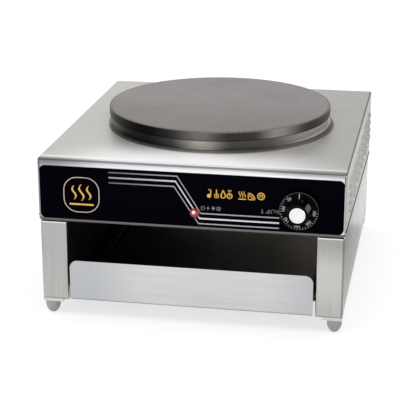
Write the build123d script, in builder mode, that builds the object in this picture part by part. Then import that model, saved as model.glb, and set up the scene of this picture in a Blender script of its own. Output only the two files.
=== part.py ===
from build123d import *
from math import cos, radians, sin
import os

os.makedirs("parts", exist_ok=True)

# Electric crepe maker: a cast griddle plate on a folded stainless housing, with a warming
# compartment and a sliding tray below. +X is the right side as the user faces the fascia,
# +Y points to the rear and +Z up. The origin is on the worktop, at the centre of the footprint.

# ------------------------------------------------------------------ driving sizes, mm
body_width = 450.0
body_depth = 490.0
body_height = 218.5  # underside of the side panels to the top sheet
foot_height = 25.0  # worktop to the underside of the side panels
cover_sheet = 1.2
panel_sheet = 1.2
liner_sheet = 1.0
seat_gap = 0.3  # between curved faces of pieces that move past each other
running_gap = 0.05  # radial clearance of a shaft in its bush or nut
screw_gap = 0.4  # radial clearance of a fixing screw in its hole

# top cover
front_flange = 95.5
side_flange_front = 86.0
rear_flange = 107.0
front_bend = 5.0
side_bend = 2.5
return_bend = 2.5  # from the front flange into its return
front_return = 12.0
corner_slit_width = 1.0
corner_slit_height = 14.0

# louvres pressed out of the side flanges of the cover
louvre_length = 58.0
louvre_rise = 8.5
louvre_reach = 3.6
louvre_slope_angle = 60.0
louvre_corner = 4.0
louvre_columns = 6
louvre_rows = 4
louvre_column_pitch = 72.0
louvre_row_pitch = 12.6
louvre_first_row = 32.0  # top sheet down to the shear line of the first row

# side panels, each with a front leg, a rear return and lips at the top and the bottom
leg_width = 40.7  # side of the body to the edge of the compartment
leg_drop = 97.0  # top sheet down to the top of the legs
leg_lip = 12.0
liner_lip = 12.0
rear_return = 16.0
top_lip = 14.0
panel_bend = 2.0
leg_corner_cut = 3.0

# warming compartment
rear_duct = 45.0  # clear space between the compartment's back and the rear panel
tray_gap = 3.3  # each side of the tray front in its opening
tray_front_height = 61.0
tray_front_drop = 1.8  # underside of the tray front above the underside of the body
tray_front_sheet = 1.5
tray_front_corner = 12.0
tray_proud = 2.0
tray_sheet = 1.2
tray_back_gap = 12.0  # rear wall of the tray to the compartment's back
tray_wall = 19.0
tray_floor_bend = 4.0
tray_rim = 9.5
rail_height = 7.4
rail_lip = 8.5
rail_level = 18.8  # underside of the rails above the underside of the body
rail_slack = 0.3

# fascia
fascia_margin = 3.0  # each end of the fascia inside the end of the body
fascia_height = 80.0
fascia_sheet = 1.0
fascia_corner = 8.0
fascia_drop = 10.5  # top sheet down to the upper edge of the fascia
lamp_x = 8.0  # right of the middle
lamp_drop = 69.9
lens_diameter = 14.5
lens_rim = 1.6
lens_dome = 4.6
lens_barrel = 9.0
lamp_body_length = 24.0
lamp_nut_flats = 13.0
lamp_nut_height = 4.0
lamp_tab_thickness = 0.8
lamp_tab_width = 4.5

# control knob and thermostat
knob_inset = 66.0  # right side of the body to the knob's axis
knob_drop = 55.0
knob_standoff = 2.4
skirt_diameter = 57.0
skirt_rim = 3.2
skirt_height = 7.0
skirt_bevel = 0.8  # radial
grip_diameter = 36.0
grip_draft = 3.0  # radial, from the skirt to the cap
grip_height = 19.5
grip_flute_radius = 11.0
grip_flute_depth = 2.2
grip_flutes = 6
cap_margin = 3.6  # rim of the grip round the cap
cap_height = 1.4
cap_edge = 0.35
cap_recess = 0.6
shaft_diameter = 6.0
shaft_flat = 1.5  # depth of the flat that turns with the grip
shaft_grip = 12.0
shaft_bearing = 8.0  # length of the shaft inside the thermostat
knob_recess = 2.0  # radial room for the thermostat's boss behind the skirt
thermostat_width = 42.0
thermostat_height = 36.0
thermostat_depth = 28.0
thermostat_boss_diameter = 16.0
thermostat_boss_proud = 1.0  # boss in front of the fascia
thermostat_corner = 3.0
bracket_sheet = 1.6
bracket_margin = 7.0
bracket_screw_spacing = 28.0
bracket_screw_diameter = 4.0
bracket_screw_head = 7.5
bracket_screw_head_height = 1.6
bulb_diameter = 6.0
bulb_length = 70.0
bulb_clip_width = 12.0
bulb_clip_sheet = 1.0
bulb_clip_foot = 10.0
bulb_clip_gap = 1.0  # shoulder of the clip inside the hole of the clamp plate
capillary_diameter = 2.4
capillary_bend = 3.5
capillary_drop = 28.5  # top sheet down to the level run

# griddle plate and what hangs below it
plate_diameter = 350.0
plate_thickness = 15.0
plate_lift = 13.0  # top sheet to the underside of the plate
plate_setback = 12.0  # plate centre behind the centre of the body
plate_top_edge = 2.5
plate_lower_edge = 1.5
collar_inset = 2.5  # edge of the plate to the collar's wall
collar_sheet = 1.0
collar_foot = 3.0
element_radii = (75.0, 130.0)
element_width = 8.0
element_height = 6.0
element_groove_depth = 4.0
element_gap_angle = 24.0
element_pin_angle = 3.0  # pins behind the ends of the ring
element_pin_diameter = 6.0
element_pin_length = 44.0
clamp_margin = 8.0  # outer ring to the edge of the clamp plate
clamp_sheet = 2.0
wool_thickness = 12.0
clamp_centre_diameter = 92.0
wool_centre_diameter = 122.0
pan_clamp_gap = 3.0
pan_sheet = 1.0
pan_clearance = 5.0  # insulation pan to the edge of its opening in the cover
stud_diameter = 8.0
stud_spacing = 148.0
stud_grip = 8.0  # length of the stud in the plate
bar_width = 30.0
bar_height = 20.0
bar_sheet = 2.0
bar_tab = 26.0
bar_bolt_diameter = 6.0
bar_bolt_flats = 10.0
bar_bolt_head = 4.0
bar_bolt_drop = 13.0
nut_flats = 13.0
nut_height = 6.5

# feet
foot_diameter = 22.0
foot_tip_diameter = 9.0
foot_shoulder = 6.0
foot_inset = 13.0  # foot centre inside the sides and the front and rear of the body
foot_stud_diameter = 8.0
foot_stud_spare = 2.0  # thread left above the nut when the foot is screwed out
foot_travel = 10.0
bracket_plate = 30.0
bracket_plate_thickness = 5.0
bracket_inset = 1.5
weld_nut_flats = 13.0
weld_nut_height = 6.0

# mains entry
gland_inset = 60.0  # right side of the body to the gland
gland_rise = 42.0  # underside of the body up to the gland centre
gland_thread_diameter = 20.0
gland_cord_diameter = 9.2
gland_hex = 24.0
gland_hex_height = 6.0
gland_cap_diameter = 23.0
gland_cap_length = 17.0
gland_cap_barrel = 9.4  # straight part of the cap
gland_mouth_wall = 2.0
gland_thread_length = 10.0
gland_nut_height = 5.0
terminal_width = 46.0
terminal_depth = 20.0
terminal_height = 22.0
terminal_rib = 3.0
terminal_lip = 4.0
terminal_spacing = 55.0  # gland to the terminal block
terminal_rise = 40.0
wire_diameter = 3.0
wire_bend = 9.0
wire_rise = 22.8  # housing floor up to the level runs
riser_setback = 16.0  # compartment's back to the wires that rise through the floor
floor_hole_diameter = 22.0
grommet_lip = 3.0
grommet_wall = 2.5
earth_stud_diameter = 5.0
earth_stud_length = 14.0
earth_nut_flats = 8.0
earth_nut_height = 4.0
earth_rise = 40.0

# fixing screws of the rear panel and of the cover's rear flange
panel_screw_diameter = 4.0
panel_screw_head = 8.0
panel_screw_head_height = 2.4
panel_screw_crown = 1.4
panel_screw_length = 8.0
panel_screw_margin = 16.0  # screws inside the lower end and the seam of the rear panel
cover_screw_spacing = 170.0
cover_screw_rise = 20.0  # lower edge of the rear flange up to its screws

# ------------------------------------------------------------------ derived places
body_bottom = foot_height
body_top = foot_height + body_height
half_width = body_width / 2
fascia_width = body_width - 2 * fascia_margin
knob_reach = fascia_sheet + knob_standoff + skirt_height + grip_height + cap_height - cap_recess
gland_reach = gland_hex_height + gland_cap_length - cover_sheet
body_centre_y = (knob_reach - gland_reach) / 2
front_y = body_centre_y - body_depth / 2
rear_y = body_centre_y + body_depth / 2
panel_x = half_width - cover_sheet  # outer face of the side panels
panel_inner_x = panel_x - panel_sheet
leg_y = front_y + cover_sheet  # front face of the legs
rear_panel_y = rear_y - cover_sheet  # outer face of the rear panel
side_top = body_top - cover_sheet
opening_x = half_width - leg_width
leg_top = body_top - leg_drop
flange_bottom = body_top - front_flange
return_bend_top = flange_bottom + return_bend
floor_z = flange_bottom + cover_sheet  # the housing floor rests on the front return
liner_x = opening_x + panel_sheet  # inner face of the compartment's walls
liner_back_y = rear_panel_y - panel_sheet - rear_duct  # front face of the compartment's back
duct_y = liner_back_y + liner_sheet + riser_setback
plate_y = body_centre_y + plate_setback
collar_diameter = plate_diameter - 2 * collar_inset
clamp_diameter = 2 * (max(element_radii) + element_width / 2 + clamp_margin)
pan_diameter = clamp_diameter + 2 * (pan_clamp_gap + pan_sheet)
plate_opening_radius = pan_diameter / 2 + pan_clearance
plate_under = body_top + plate_lift
clamp_top = plate_under + element_groove_depth - element_height
wool_top = clamp_top - clamp_sheet
pan_floor_top = wool_top - wool_thickness
bar_top = pan_floor_top - pan_sheet
fascia_y = front_y - fascia_sheet
knob_x = half_width - knob_inset
knob_z = body_top - knob_drop
skirt_face_diameter = skirt_diameter - 2 * skirt_bevel
grip_top_diameter = grip_diameter - 2 * grip_draft
cap_diameter = grip_top_diameter - 2 * cap_margin
gland_x = half_width - gland_inset
terminal_x = gland_x - terminal_spacing
capillary_level = body_top - capillary_drop
wire_level = floor_z + wire_rise
lamp_z = body_top - lamp_drop
skirt_back_y = fascia_y - knob_standoff
skirt_front_y = skirt_back_y - skirt_height
thermostat_y = front_y + cover_sheet + bracket_sheet  # front face of the thermostat body
tray_half = opening_x - tray_gap
tray_front_y = leg_y - tray_proud
tray_back_of_front = tray_front_y + tray_front_sheet
rim_x = liner_x - liner_sheet - seat_gap * 2
pan_wall_x = rim_x - tray_rim  # outer face of the tray's side walls
foot_spots = [
    (side * (half_width - foot_inset), y)
    for side in (-1, 1)
    for y in (front_y + foot_inset, rear_y - foot_inset)
]
stud_rows = (plate_y - stud_spacing / 2, plate_y + stud_spacing / 2)
stud_spots = [(x, y) for x in (-stud_spacing / 2, stud_spacing / 2) for y in stud_rows]
bar_bolt_spots = [(y, bar_top - bar_bolt_drop) for y in stud_rows]
rear_screw_spots = [
    (side * (panel_x - rear_return / 2), z)
    for side in (-1, 1)
    for z in (body_bottom + panel_screw_margin, body_top - rear_flange - panel_screw_margin)
]
cover_screw_spots = [
    (column * cover_screw_spacing, body_top - rear_flange + cover_screw_rise) for column in (-1, 0, 1)
]
foot_names = ["front_left", "rear_left", "front_right", "rear_right"]


def write_step(piece, name):
    """Label a finished piece and write it as its own STEP file."""
    piece.part.label = name
    export_step(piece.part, f"parts/{name}.step")


def block(x, y, z):
    """Sizes and centre of a box between the low and high ends of each axis."""
    size = (x[1] - x[0], y[1] - y[0], z[1] - z[0])
    centre = ((x[0] + x[1]) / 2, (y[0] + y[1]) / 2, (z[0] + z[1]) / 2)
    return size, centre


def add_block(x, y, z, mode=Mode.ADD):
    """Add or cut a box, given by its ends, in the part that is being built."""
    size, centre = block(x, y, z)
    with Locations(centre):
        Box(*size, mode=mode)


# ------------------------------------------------------------------ top cover
with BuildPart() as louvre_hood:
    with BuildSketch(Plane.YZ):
        RectangleRounded(louvre_length, 2 * louvre_rise, louvre_corner)
    extrude(amount=louvre_reach, taper=louvre_slope_angle)
    split(bisect_by=Plane.XY, keep=Keep.TOP)

with BuildPart() as louvre_hollow:
    with BuildSketch(Plane.YZ.offset(-cover_sheet)):
        RectangleRounded(louvre_length, 2 * louvre_rise, louvre_corner)
    extrude(amount=louvre_reach, taper=louvre_slope_angle)
    split(bisect_by=Plane.XY, keep=Keep.TOP)

louvre_spots = [
    Location(
        (
            side * half_width,
            body_centre_y + (column - (louvre_columns - 1) / 2) * louvre_column_pitch,
            body_top - louvre_first_row - row * louvre_row_pitch,
        ),
        (0, 0, 0 if side > 0 else 180),
    )
    for side in (-1, 1)
    for column in range(louvre_columns)
    for row in range(louvre_rows)
]

with BuildPart() as cover_core:
    add_block((-panel_x, panel_x), (leg_y, rear_panel_y), (body_bottom, side_top))
    fillet(cover_core.edges().group_by(Axis.Z)[-1].filter_by(Axis.X), front_bend - cover_sheet)
    fillet(cover_core.edges().group_by(Axis.Z)[-1].filter_by(Axis.Y), side_bend - cover_sheet)

with BuildPart() as top_cover:
    add_block((-half_width, half_width), (front_y, rear_y), (body_top - rear_flange, body_top))
    fillet(top_cover.edges().group_by(Axis.Z)[-1].filter_by(Axis.X), front_bend)
    fillet(top_cover.edges().group_by(Axis.Z)[-1].filter_by(Axis.Y), side_bend)
    add(cover_core.part, mode=Mode.SUBTRACT)
    # the side flanges grow deeper towards the rear
    with BuildSketch(Plane.YZ.offset(-half_width)):
        with BuildLine():
            Polyline(
                (leg_y, body_top - side_flange_front),
                (rear_panel_y, body_top - rear_flange),
                (leg_y, body_top - rear_flange),
                close=True,
            )
        make_face()
    extrude(amount=body_width, mode=Mode.SUBTRACT)
    # the front flange is the shortest, and bends into a return that the housing floor rests on
    add_block(
        (-half_width, half_width),
        (front_y, leg_y),
        (body_top - rear_flange, return_bend_top),
        Mode.SUBTRACT,
    )
    with BuildSketch(Plane.YZ.offset(-panel_inner_x)):
        with BuildLine():
            Polyline(
                (front_y, return_bend_top),
                (front_y, flange_bottom),
                (leg_y + front_return, flange_bottom),
                (leg_y + front_return, floor_z),
                (leg_y, floor_z),
                (leg_y, return_bend_top),
                close=True,
            )
        make_face()
        fillet(vertices().sort_by_distance((front_y, flange_bottom))[0], return_bend)
        fillet(vertices().sort_by_distance((leg_y, floor_z))[0], return_bend - cover_sheet)
    extrude(amount=2 * panel_inner_x)
    # open corner reliefs at both ends of the front flange
    for side in (-1, 1):
        slit_x = side * (half_width - side_bend - corner_slit_width / 2)
        add_block(
            (slit_x - corner_slit_width / 2, slit_x + corner_slit_width / 2),
            (front_y, leg_y),
            (body_top - front_bend - corner_slit_height, body_top - front_bend),
            Mode.SUBTRACT,
        )
    # openings for the griddle, the shaft, the bracket screws and the lamp
    with Locations((0, plate_y, body_top)):
        Cylinder(plate_opening_radius, 4 * cover_sheet, mode=Mode.SUBTRACT)
    with BuildSketch(Plane.XZ.offset(-front_y)):
        with Locations((knob_x, knob_z)):
            Circle(thermostat_boss_diameter / 2 + screw_gap)
            with GridLocations(bracket_screw_spacing, 0, 2, 1):
                Circle(bracket_screw_diameter / 2 + screw_gap)
        with Locations((lamp_x, lamp_z)):
            Circle(lens_barrel / 2 + screw_gap)
    extrude(amount=-cover_sheet, mode=Mode.SUBTRACT)
    with BuildSketch(Plane.XZ.offset(-rear_y)):
        with Locations(*cover_screw_spots):
            Circle(panel_screw_diameter / 2)
    extrude(amount=cover_sheet, mode=Mode.SUBTRACT)
    with Locations(*louvre_spots):
        add(louvre_hood.part)
    with Locations(*louvre_spots):
        add(louvre_hollow.part, mode=Mode.SUBTRACT)
write_step(top_cover, "top_cover")


# ------------------------------------------------------------------ side panels
def side_panel(side):
    """One side of the chassis, bent from a single sheet, with its front leg."""
    centre = panel_sheet / 2
    rear_face = rear_panel_y - panel_sheet  # the rear panel lies on the rear return
    with BuildPart() as panel:
        with BuildSketch(Plane.XY.offset(body_bottom)):
            with BuildLine():
                FilletPolyline(
                    (side * (opening_x + centre), leg_y + leg_lip),
                    (side * (opening_x + centre), leg_y + centre),
                    (side * (panel_x - centre), leg_y + centre),
                    (side * (panel_x - centre), rear_face - centre),
                    (side * (panel_x - rear_return), rear_face - centre),
                    radius=panel_bend,
                )
            trace(line_width=panel_sheet)
        extrude(amount=side_top - body_bottom)
        # the leg stops below the cover, and the side goes on up inside it
        add_block(
            sorted((side * (opening_x - panel_sheet), side * (panel_x + panel_sheet))),
            (leg_y - panel_sheet, leg_y + panel_bend + panel_sheet),
            (leg_top, body_top),
            Mode.SUBTRACT,
        )
        add_block(
            sorted((side * (opening_x - panel_sheet), side * (opening_x + rear_return))),
            (leg_y - panel_sheet, leg_y + leg_lip + panel_sheet),
            (leg_top, body_top),
            Mode.SUBTRACT,
        )
        # lips at the top of the leg, the top of the side and along the bottom
        add_block(
            sorted((side * (liner_x + liner_sheet), side * panel_inner_x)),
            (leg_y + panel_sheet, leg_y + leg_lip),
            (leg_top - panel_sheet, leg_top),
        )
        add_block(
            sorted((side * (panel_x - top_lip), side * panel_inner_x)),
            (leg_y + leg_lip, rear_face - panel_sheet),
            (side_top - panel_sheet, side_top),
        )
        add_block(
            sorted((side * (liner_x + liner_sheet), side * panel_inner_x)),
            (leg_y + panel_sheet, rear_face - panel_sheet),
            (body_bottom, body_bottom + panel_sheet),
        )
        with BuildSketch(Plane.XY.offset(body_bottom)):
            with Locations(*[spot for spot in foot_spots if spot[0] * side > 0]):
                RegularPolygon(weld_nut_flats / 2 + screw_gap, 6, major_radius=False)
        extrude(amount=panel_sheet, mode=Mode.SUBTRACT)
        # clipped lower corner of the leg, where the bottom lip folds in
        with BuildSketch(Plane.XZ.offset(-leg_y)):
            with BuildLine():
                Polyline(
                    (side * panel_x, body_bottom),
                    (side * (panel_x - leg_corner_cut), body_bottom),
                    (side * panel_x, body_bottom + leg_corner_cut),
                    close=True,
                )
            make_face()
        extrude(amount=-(panel_sheet + panel_bend), mode=Mode.SUBTRACT)
        # holes for the screws of the rear panel and the bolts of the support bars
        with BuildSketch(Plane.XZ.offset(-rear_face)):
            with Locations(*[spot for spot in rear_screw_spots if spot[0] * side > 0]):
                Circle(panel_screw_diameter / 2)
        extrude(amount=panel_sheet, mode=Mode.SUBTRACT)
        with BuildSketch(Plane.YZ.offset(min(side * panel_x, side * panel_inner_x))):
            with Locations(*bar_bolt_spots):
                Circle(bar_bolt_diameter / 2)
        extrude(amount=panel_sheet, mode=Mode.SUBTRACT)
        # the upper edges follow the bends of the cover that they fit into
        add(cover_core.part, mode=Mode.INTERSECT)
    return panel


left_side_panel = side_panel(-1)
write_step(left_side_panel, "left_side_panel")
right_side_panel = side_panel(1)
write_step(right_side_panel, "right_side_panel")

# ------------------------------------------------------------------ rear panel
rear_half = panel_x - panel_bend
with BuildPart() as rear_panel:
    add_block((-rear_half, rear_half), (rear_panel_y - panel_sheet, rear_panel_y), (body_bottom, side_top))
    with BuildSketch(Plane.XZ.offset(-rear_panel_y)):
        with Locations((gland_x, body_bottom + gland_rise)):
            Circle(gland_thread_diameter / 2)
        with Locations(*rear_screw_spots, *cover_screw_spots):
            Circle(panel_screw_diameter / 2)
    extrude(amount=panel_sheet, mode=Mode.SUBTRACT)
    add(cover_core.part, mode=Mode.INTERSECT)
write_step(rear_panel, "rear_panel")

# ------------------------------------------------------------------ housing floor and liner
with BuildPart() as housing_floor:
    add_block(
        (-panel_inner_x, panel_inner_x),
        (leg_y + panel_bend + panel_sheet, rear_panel_y - 2 * panel_sheet - panel_bend),
        (floor_z, floor_z + liner_sheet),
    )
    for side in (-1, 1):
        add_block(
            sorted((side * (panel_inner_x - liner_sheet), side * panel_inner_x)),
            (leg_y + leg_lip, rear_panel_y - 2 * panel_sheet - rear_return),
            (floor_z, floor_z + liner_lip),
        )
    with Locations((terminal_x, duct_y, floor_z)):
        Cylinder(floor_hole_diameter / 2, 4 * liner_sheet, mode=Mode.SUBTRACT)
write_step(housing_floor, "housing_floor")


def compartment_wall(side):
    """One dark side wall of the warming compartment, behind the leg's lip."""
    with BuildPart() as wall:
        add_block(
            sorted((side * liner_x, side * (liner_x + liner_sheet))),
            (leg_y + panel_bend + panel_sheet, liner_back_y),
            (body_bottom, floor_z),
        )
        # the front return of the cover passes over the wall's front end
        add_block(
            sorted((side * liner_x, side * (liner_x + liner_sheet))),
            (leg_y, leg_y + front_return),
            (floor_z - cover_sheet, floor_z),
            Mode.SUBTRACT,
        )
    return wall


left_inner_wall = compartment_wall(-1)
write_step(left_inner_wall, "left_inner_wall")
right_inner_wall = compartment_wall(1)
write_step(right_inner_wall, "right_inner_wall")

with BuildPart() as inner_back_wall:
    add_block(
        (-liner_x - liner_sheet, liner_x + liner_sheet),
        (liner_back_y, liner_back_y + liner_sheet),
        (body_bottom, floor_z),
    )
    add_block(
        (-liner_x - liner_sheet, liner_x + liner_sheet),
        (liner_back_y + liner_sheet, liner_back_y + liner_sheet + liner_lip),
        (body_bottom, body_bottom + liner_sheet),
    )
write_step(inner_back_wall, "inner_back_wall")


# ------------------------------------------------------------------ tray and its rails
def tray_rail(side):
    """A C-section rail on the compartment wall, which the rim of the tray slides in."""
    level = body_bottom + rail_level
    with BuildPart() as rail:
        with BuildSketch(Plane.XZ.offset(-(leg_y + leg_lip))):
            with BuildLine():
                Polyline(
                    (side * liner_x, level),
                    (side * (liner_x - rail_lip), level),
                    (side * (liner_x - rail_lip), level + liner_sheet),
                    (side * (liner_x - liner_sheet), level + liner_sheet),
                    (side * (liner_x - liner_sheet), level + rail_height - liner_sheet),
                    (side * (liner_x - rail_lip / 2), level + rail_height - liner_sheet),
                    (side * (liner_x - rail_lip / 2), level + rail_height),
                    (side * liner_x, level + rail_height),
                    close=True,
                )
            make_face()
        extrude(amount=-(liner_back_y - leg_y - leg_lip))
    return rail


left_tray_rail = tray_rail(-1)
write_step(left_tray_rail, "left_tray_rail")
right_tray_rail = tray_rail(1)
write_step(right_tray_rail, "right_tray_rail")

rim_z = body_bottom + rail_level + liner_sheet + rail_slack  # underside of the tray's rims
tray_bottom = rim_z + tray_sheet - tray_wall
tray_rear_y = liner_back_y - tray_back_gap
with BuildPart() as tray_pan:
    add_block((-pan_wall_x, pan_wall_x), (tray_back_of_front, tray_rear_y), (tray_bottom, rim_z + tray_sheet))
    fillet(tray_pan.edges().filter_by(Axis.Y).group_by(Axis.Z)[0], tray_floor_bend)
    fillet(tray_pan.edges().filter_by(Axis.X).group_by(Axis.Z)[0].sort_by(Axis.Y)[-1], tray_floor_bend)
    offset(amount=-tray_sheet, openings=tray_pan.faces().sort_by(Axis.Z)[-1])
    for side in (-1, 1):
        add_block(
            sorted((side * pan_wall_x, side * rim_x)),
            (tray_back_of_front + leg_lip + tray_proud, tray_rear_y),
            (rim_z, rim_z + tray_sheet),
        )
write_step(tray_pan, "tray_pan")

tray_front_z = body_bottom + tray_front_drop
with BuildPart() as tray_front:
    add_block(
        (-tray_half, tray_half),
        (tray_front_y, tray_back_of_front),
        (tray_front_z, tray_front_z + tray_front_height),
    )
    fillet(tray_front.edges().filter_by(Axis.Y).group_by(Axis.Z)[-1], tray_front_corner)
write_step(tray_front, "tray_front")

# ------------------------------------------------------------------ fascia and indicator lamp
with BuildPart() as fascia_panel:
    with BuildSketch(Plane.XZ.offset(-front_y)):
        with Locations((0, body_top - fascia_drop - fascia_height / 2)):
            RectangleRounded(fascia_width, fascia_height, fascia_corner)
        with Locations((knob_x, knob_z)):
            Circle(thermostat_boss_diameter / 2 + screw_gap, mode=Mode.SUBTRACT)
            with GridLocations(bracket_screw_spacing, 0, 2, 1):
                Circle(bracket_screw_diameter / 2 + screw_gap, mode=Mode.SUBTRACT)
        with Locations((lamp_x, lamp_z)):
            Circle(lens_barrel / 2 + screw_gap, mode=Mode.SUBTRACT)
    extrude(amount=fascia_sheet)
write_step(fascia_panel, "fascia_panel")

lens_y = fascia_y - lens_rim
with BuildPart() as indicator_lens:
    with BuildSketch(Plane.YZ.offset(lamp_x)):
        with BuildLine():
            Line((fascia_y, lamp_z), (lens_y - lens_dome, lamp_z))
            TangentArc((lens_y - lens_dome, lamp_z), (lens_y, lamp_z + lens_diameter / 2), tangent=(0, 1))
            Line((lens_y, lamp_z + lens_diameter / 2), (fascia_y, lamp_z + lens_diameter / 2))
            Line((fascia_y, lamp_z + lens_diameter / 2), (fascia_y, lamp_z))
        make_face()
    revolve(axis=Axis((lamp_x, 0, lamp_z), (0, 1, 0)))
write_step(indicator_lens, "indicator_lens")

with BuildPart() as indicator_body:
    with BuildSketch(Plane.XZ.offset(-fascia_y)):
        with Locations((lamp_x, lamp_z)):
            Circle(lens_barrel / 2)
    extrude(amount=-lamp_body_length)
    with BuildSketch(Plane.XZ.offset(-(fascia_y + lamp_body_length))):
        with Locations((lamp_x, lamp_z)):
            with GridLocations(lens_barrel / 2, 0, 2, 1):
                Rectangle(lamp_tab_thickness, lamp_tab_width)
    extrude(amount=-lens_barrel)
write_step(indicator_body, "indicator_body")

with BuildPart() as indicator_nut:
    with BuildSketch(Plane.XZ.offset(-leg_y)):
        with Locations((lamp_x, lamp_z)):
            RegularPolygon(lamp_nut_flats / 2, 6, major_radius=False)
            Circle(lens_barrel / 2, mode=Mode.SUBTRACT)
    extrude(amount=-lamp_nut_height)
write_step(indicator_nut, "indicator_nut")

# ------------------------------------------------------------------ knob, shaft and thermostat
knob_axis = Axis((knob_x, 0, knob_z), (0, 1, 0))
grip_front_y = skirt_front_y - grip_height
shaft_tip_y = skirt_front_y - shaft_grip
flat_z = knob_z - shaft_diameter / 2 + shaft_flat
with BuildPart() as knob_skirt:
    with BuildSketch(Plane.YZ.offset(knob_x)):
        with BuildLine():
            Polyline(
                (skirt_back_y, knob_z),
                (skirt_back_y, knob_z + skirt_diameter / 2),
                (skirt_back_y - skirt_rim, knob_z + skirt_diameter / 2),
                (skirt_front_y, knob_z + skirt_face_diameter / 2),
                (skirt_front_y, knob_z),
                close=True,
            )
        make_face()
    revolve(axis=knob_axis)
    with BuildSketch(Plane.XZ.offset(-skirt_back_y)):
        with Locations((knob_x, knob_z)):
            Circle(thermostat_boss_diameter / 2 + knob_recess)
    extrude(amount=skirt_rim, mode=Mode.SUBTRACT)
    with BuildSketch(Plane.XZ.offset(-skirt_back_y)):
        with Locations((knob_x, knob_z)):
            Circle(shaft_diameter / 2)
    extrude(amount=skirt_height, mode=Mode.SUBTRACT)
write_step(knob_skirt, "knob_skirt")

with BuildPart() as knob_grip:
    with BuildSketch(Plane.XZ.offset(-skirt_front_y)):
        with Locations((knob_x, knob_z)):
            Circle(grip_diameter / 2)
    with BuildSketch(Plane.XZ.offset(-grip_front_y)):
        with Locations((knob_x, knob_z)):
            Circle(grip_top_diameter / 2)
    loft()
    # finger flutes round the grip
    with BuildSketch(Plane.XZ.offset(-skirt_front_y)):
        with Locations((knob_x, knob_z)):
            with PolarLocations(grip_diameter / 2 + grip_flute_radius - grip_flute_depth, grip_flutes):
                Circle(grip_flute_radius)
    extrude(amount=grip_height, mode=Mode.SUBTRACT)
    with BuildSketch(Plane.XZ.offset(-grip_front_y)):
        with Locations((knob_x, knob_z)):
            Circle(cap_diameter / 2)
    extrude(amount=-cap_recess, mode=Mode.SUBTRACT)
    # the bore keeps the flat that the shaft turns by
    with BuildSketch(Plane.XZ.offset(-skirt_front_y)):
        with Locations((knob_x, knob_z)):
            Circle(shaft_diameter / 2)
        with Locations((knob_x, flat_z - shaft_diameter / 2)):
            Rectangle(shaft_diameter, shaft_diameter, mode=Mode.SUBTRACT)
    extrude(amount=shaft_grip, mode=Mode.SUBTRACT)
write_step(knob_grip, "knob_grip")

with BuildPart() as knob_cap:
    with BuildSketch(Plane.XZ.offset(-(grip_front_y + cap_recess))):
        with Locations((knob_x, knob_z)):
            Circle(cap_diameter / 2)
    extrude(amount=cap_height)
    chamfer(knob_cap.edges().group_by(Axis.Y)[0], cap_edge)
write_step(knob_cap, "knob_cap")

shaft_back_y = thermostat_y + shaft_bearing
with BuildPart() as thermostat_shaft:
    with BuildSketch(Plane.XZ.offset(-shaft_back_y)):
        with Locations((knob_x, knob_z)):
            Circle(shaft_diameter / 2)
    extrude(amount=shaft_back_y - shaft_tip_y)
    add_block(
        (knob_x - shaft_diameter / 2, knob_x + shaft_diameter / 2),
        (shaft_tip_y, skirt_front_y),
        (knob_z - shaft_diameter / 2, flat_z),
        Mode.SUBTRACT,
    )
write_step(thermostat_shaft, "thermostat_shaft")

with BuildPart() as thermostat_bracket:
    with BuildSketch(Plane.XZ.offset(-leg_y)):
        with Locations((knob_x, knob_z)):
            Rectangle(thermostat_width, thermostat_height + 2 * bracket_margin)
            Circle(thermostat_boss_diameter / 2, mode=Mode.SUBTRACT)
            with GridLocations(bracket_screw_spacing, 0, 2, 1):
                Circle(bracket_screw_diameter / 2, mode=Mode.SUBTRACT)
    extrude(amount=-bracket_sheet)
    for side in (-1, 1):
        edge_z = knob_z + side * (thermostat_height / 2 + bracket_margin)
        add_block(
            (knob_x - thermostat_width / 2, knob_x + thermostat_width / 2),
            (thermostat_y, thermostat_y + bracket_margin),
            sorted((edge_z, edge_z - side * bracket_sheet)),
        )
write_step(thermostat_bracket, "thermostat_bracket")

with BuildPart() as thermostat_screws:
    with BuildSketch(Plane.XZ.offset(-fascia_y)):
        with Locations((knob_x, knob_z)):
            with GridLocations(bracket_screw_spacing, 0, 2, 1):
                Circle(bracket_screw_diameter / 2)
    extrude(amount=-(thermostat_y - fascia_y))
    with BuildSketch(Plane.XZ.offset(-fascia_y)):
        with Locations((knob_x, knob_z)):
            with GridLocations(bracket_screw_spacing, 0, 2, 1):
                Circle(bracket_screw_head / 2)
    extrude(amount=bracket_screw_head_height)
write_step(thermostat_screws, "thermostat_screws")

with BuildPart() as thermostat_body:
    add_block(
        (knob_x - thermostat_width / 2, knob_x + thermostat_width / 2),
        (thermostat_y, thermostat_y + thermostat_depth),
        (knob_z - thermostat_height / 2, knob_z + thermostat_height / 2),
    )
    fillet(thermostat_body.edges().filter_by(Axis.Y), thermostat_corner)
    with BuildSketch(Plane.XZ.offset(-thermostat_y)):
        with Locations((knob_x, knob_z)):
            Circle(thermostat_boss_diameter / 2)
    extrude(amount=thermostat_y - fascia_y + thermostat_boss_proud)
    with BuildSketch(Plane.XZ.offset(-(fascia_y - thermostat_boss_proud))):
        with Locations((knob_x, knob_z)):
            Circle(shaft_diameter / 2 + running_gap)
    extrude(amount=-(shaft_back_y + seat_gap - fascia_y + thermostat_boss_proud), mode=Mode.SUBTRACT)
write_step(thermostat_body, "thermostat_body")

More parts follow.
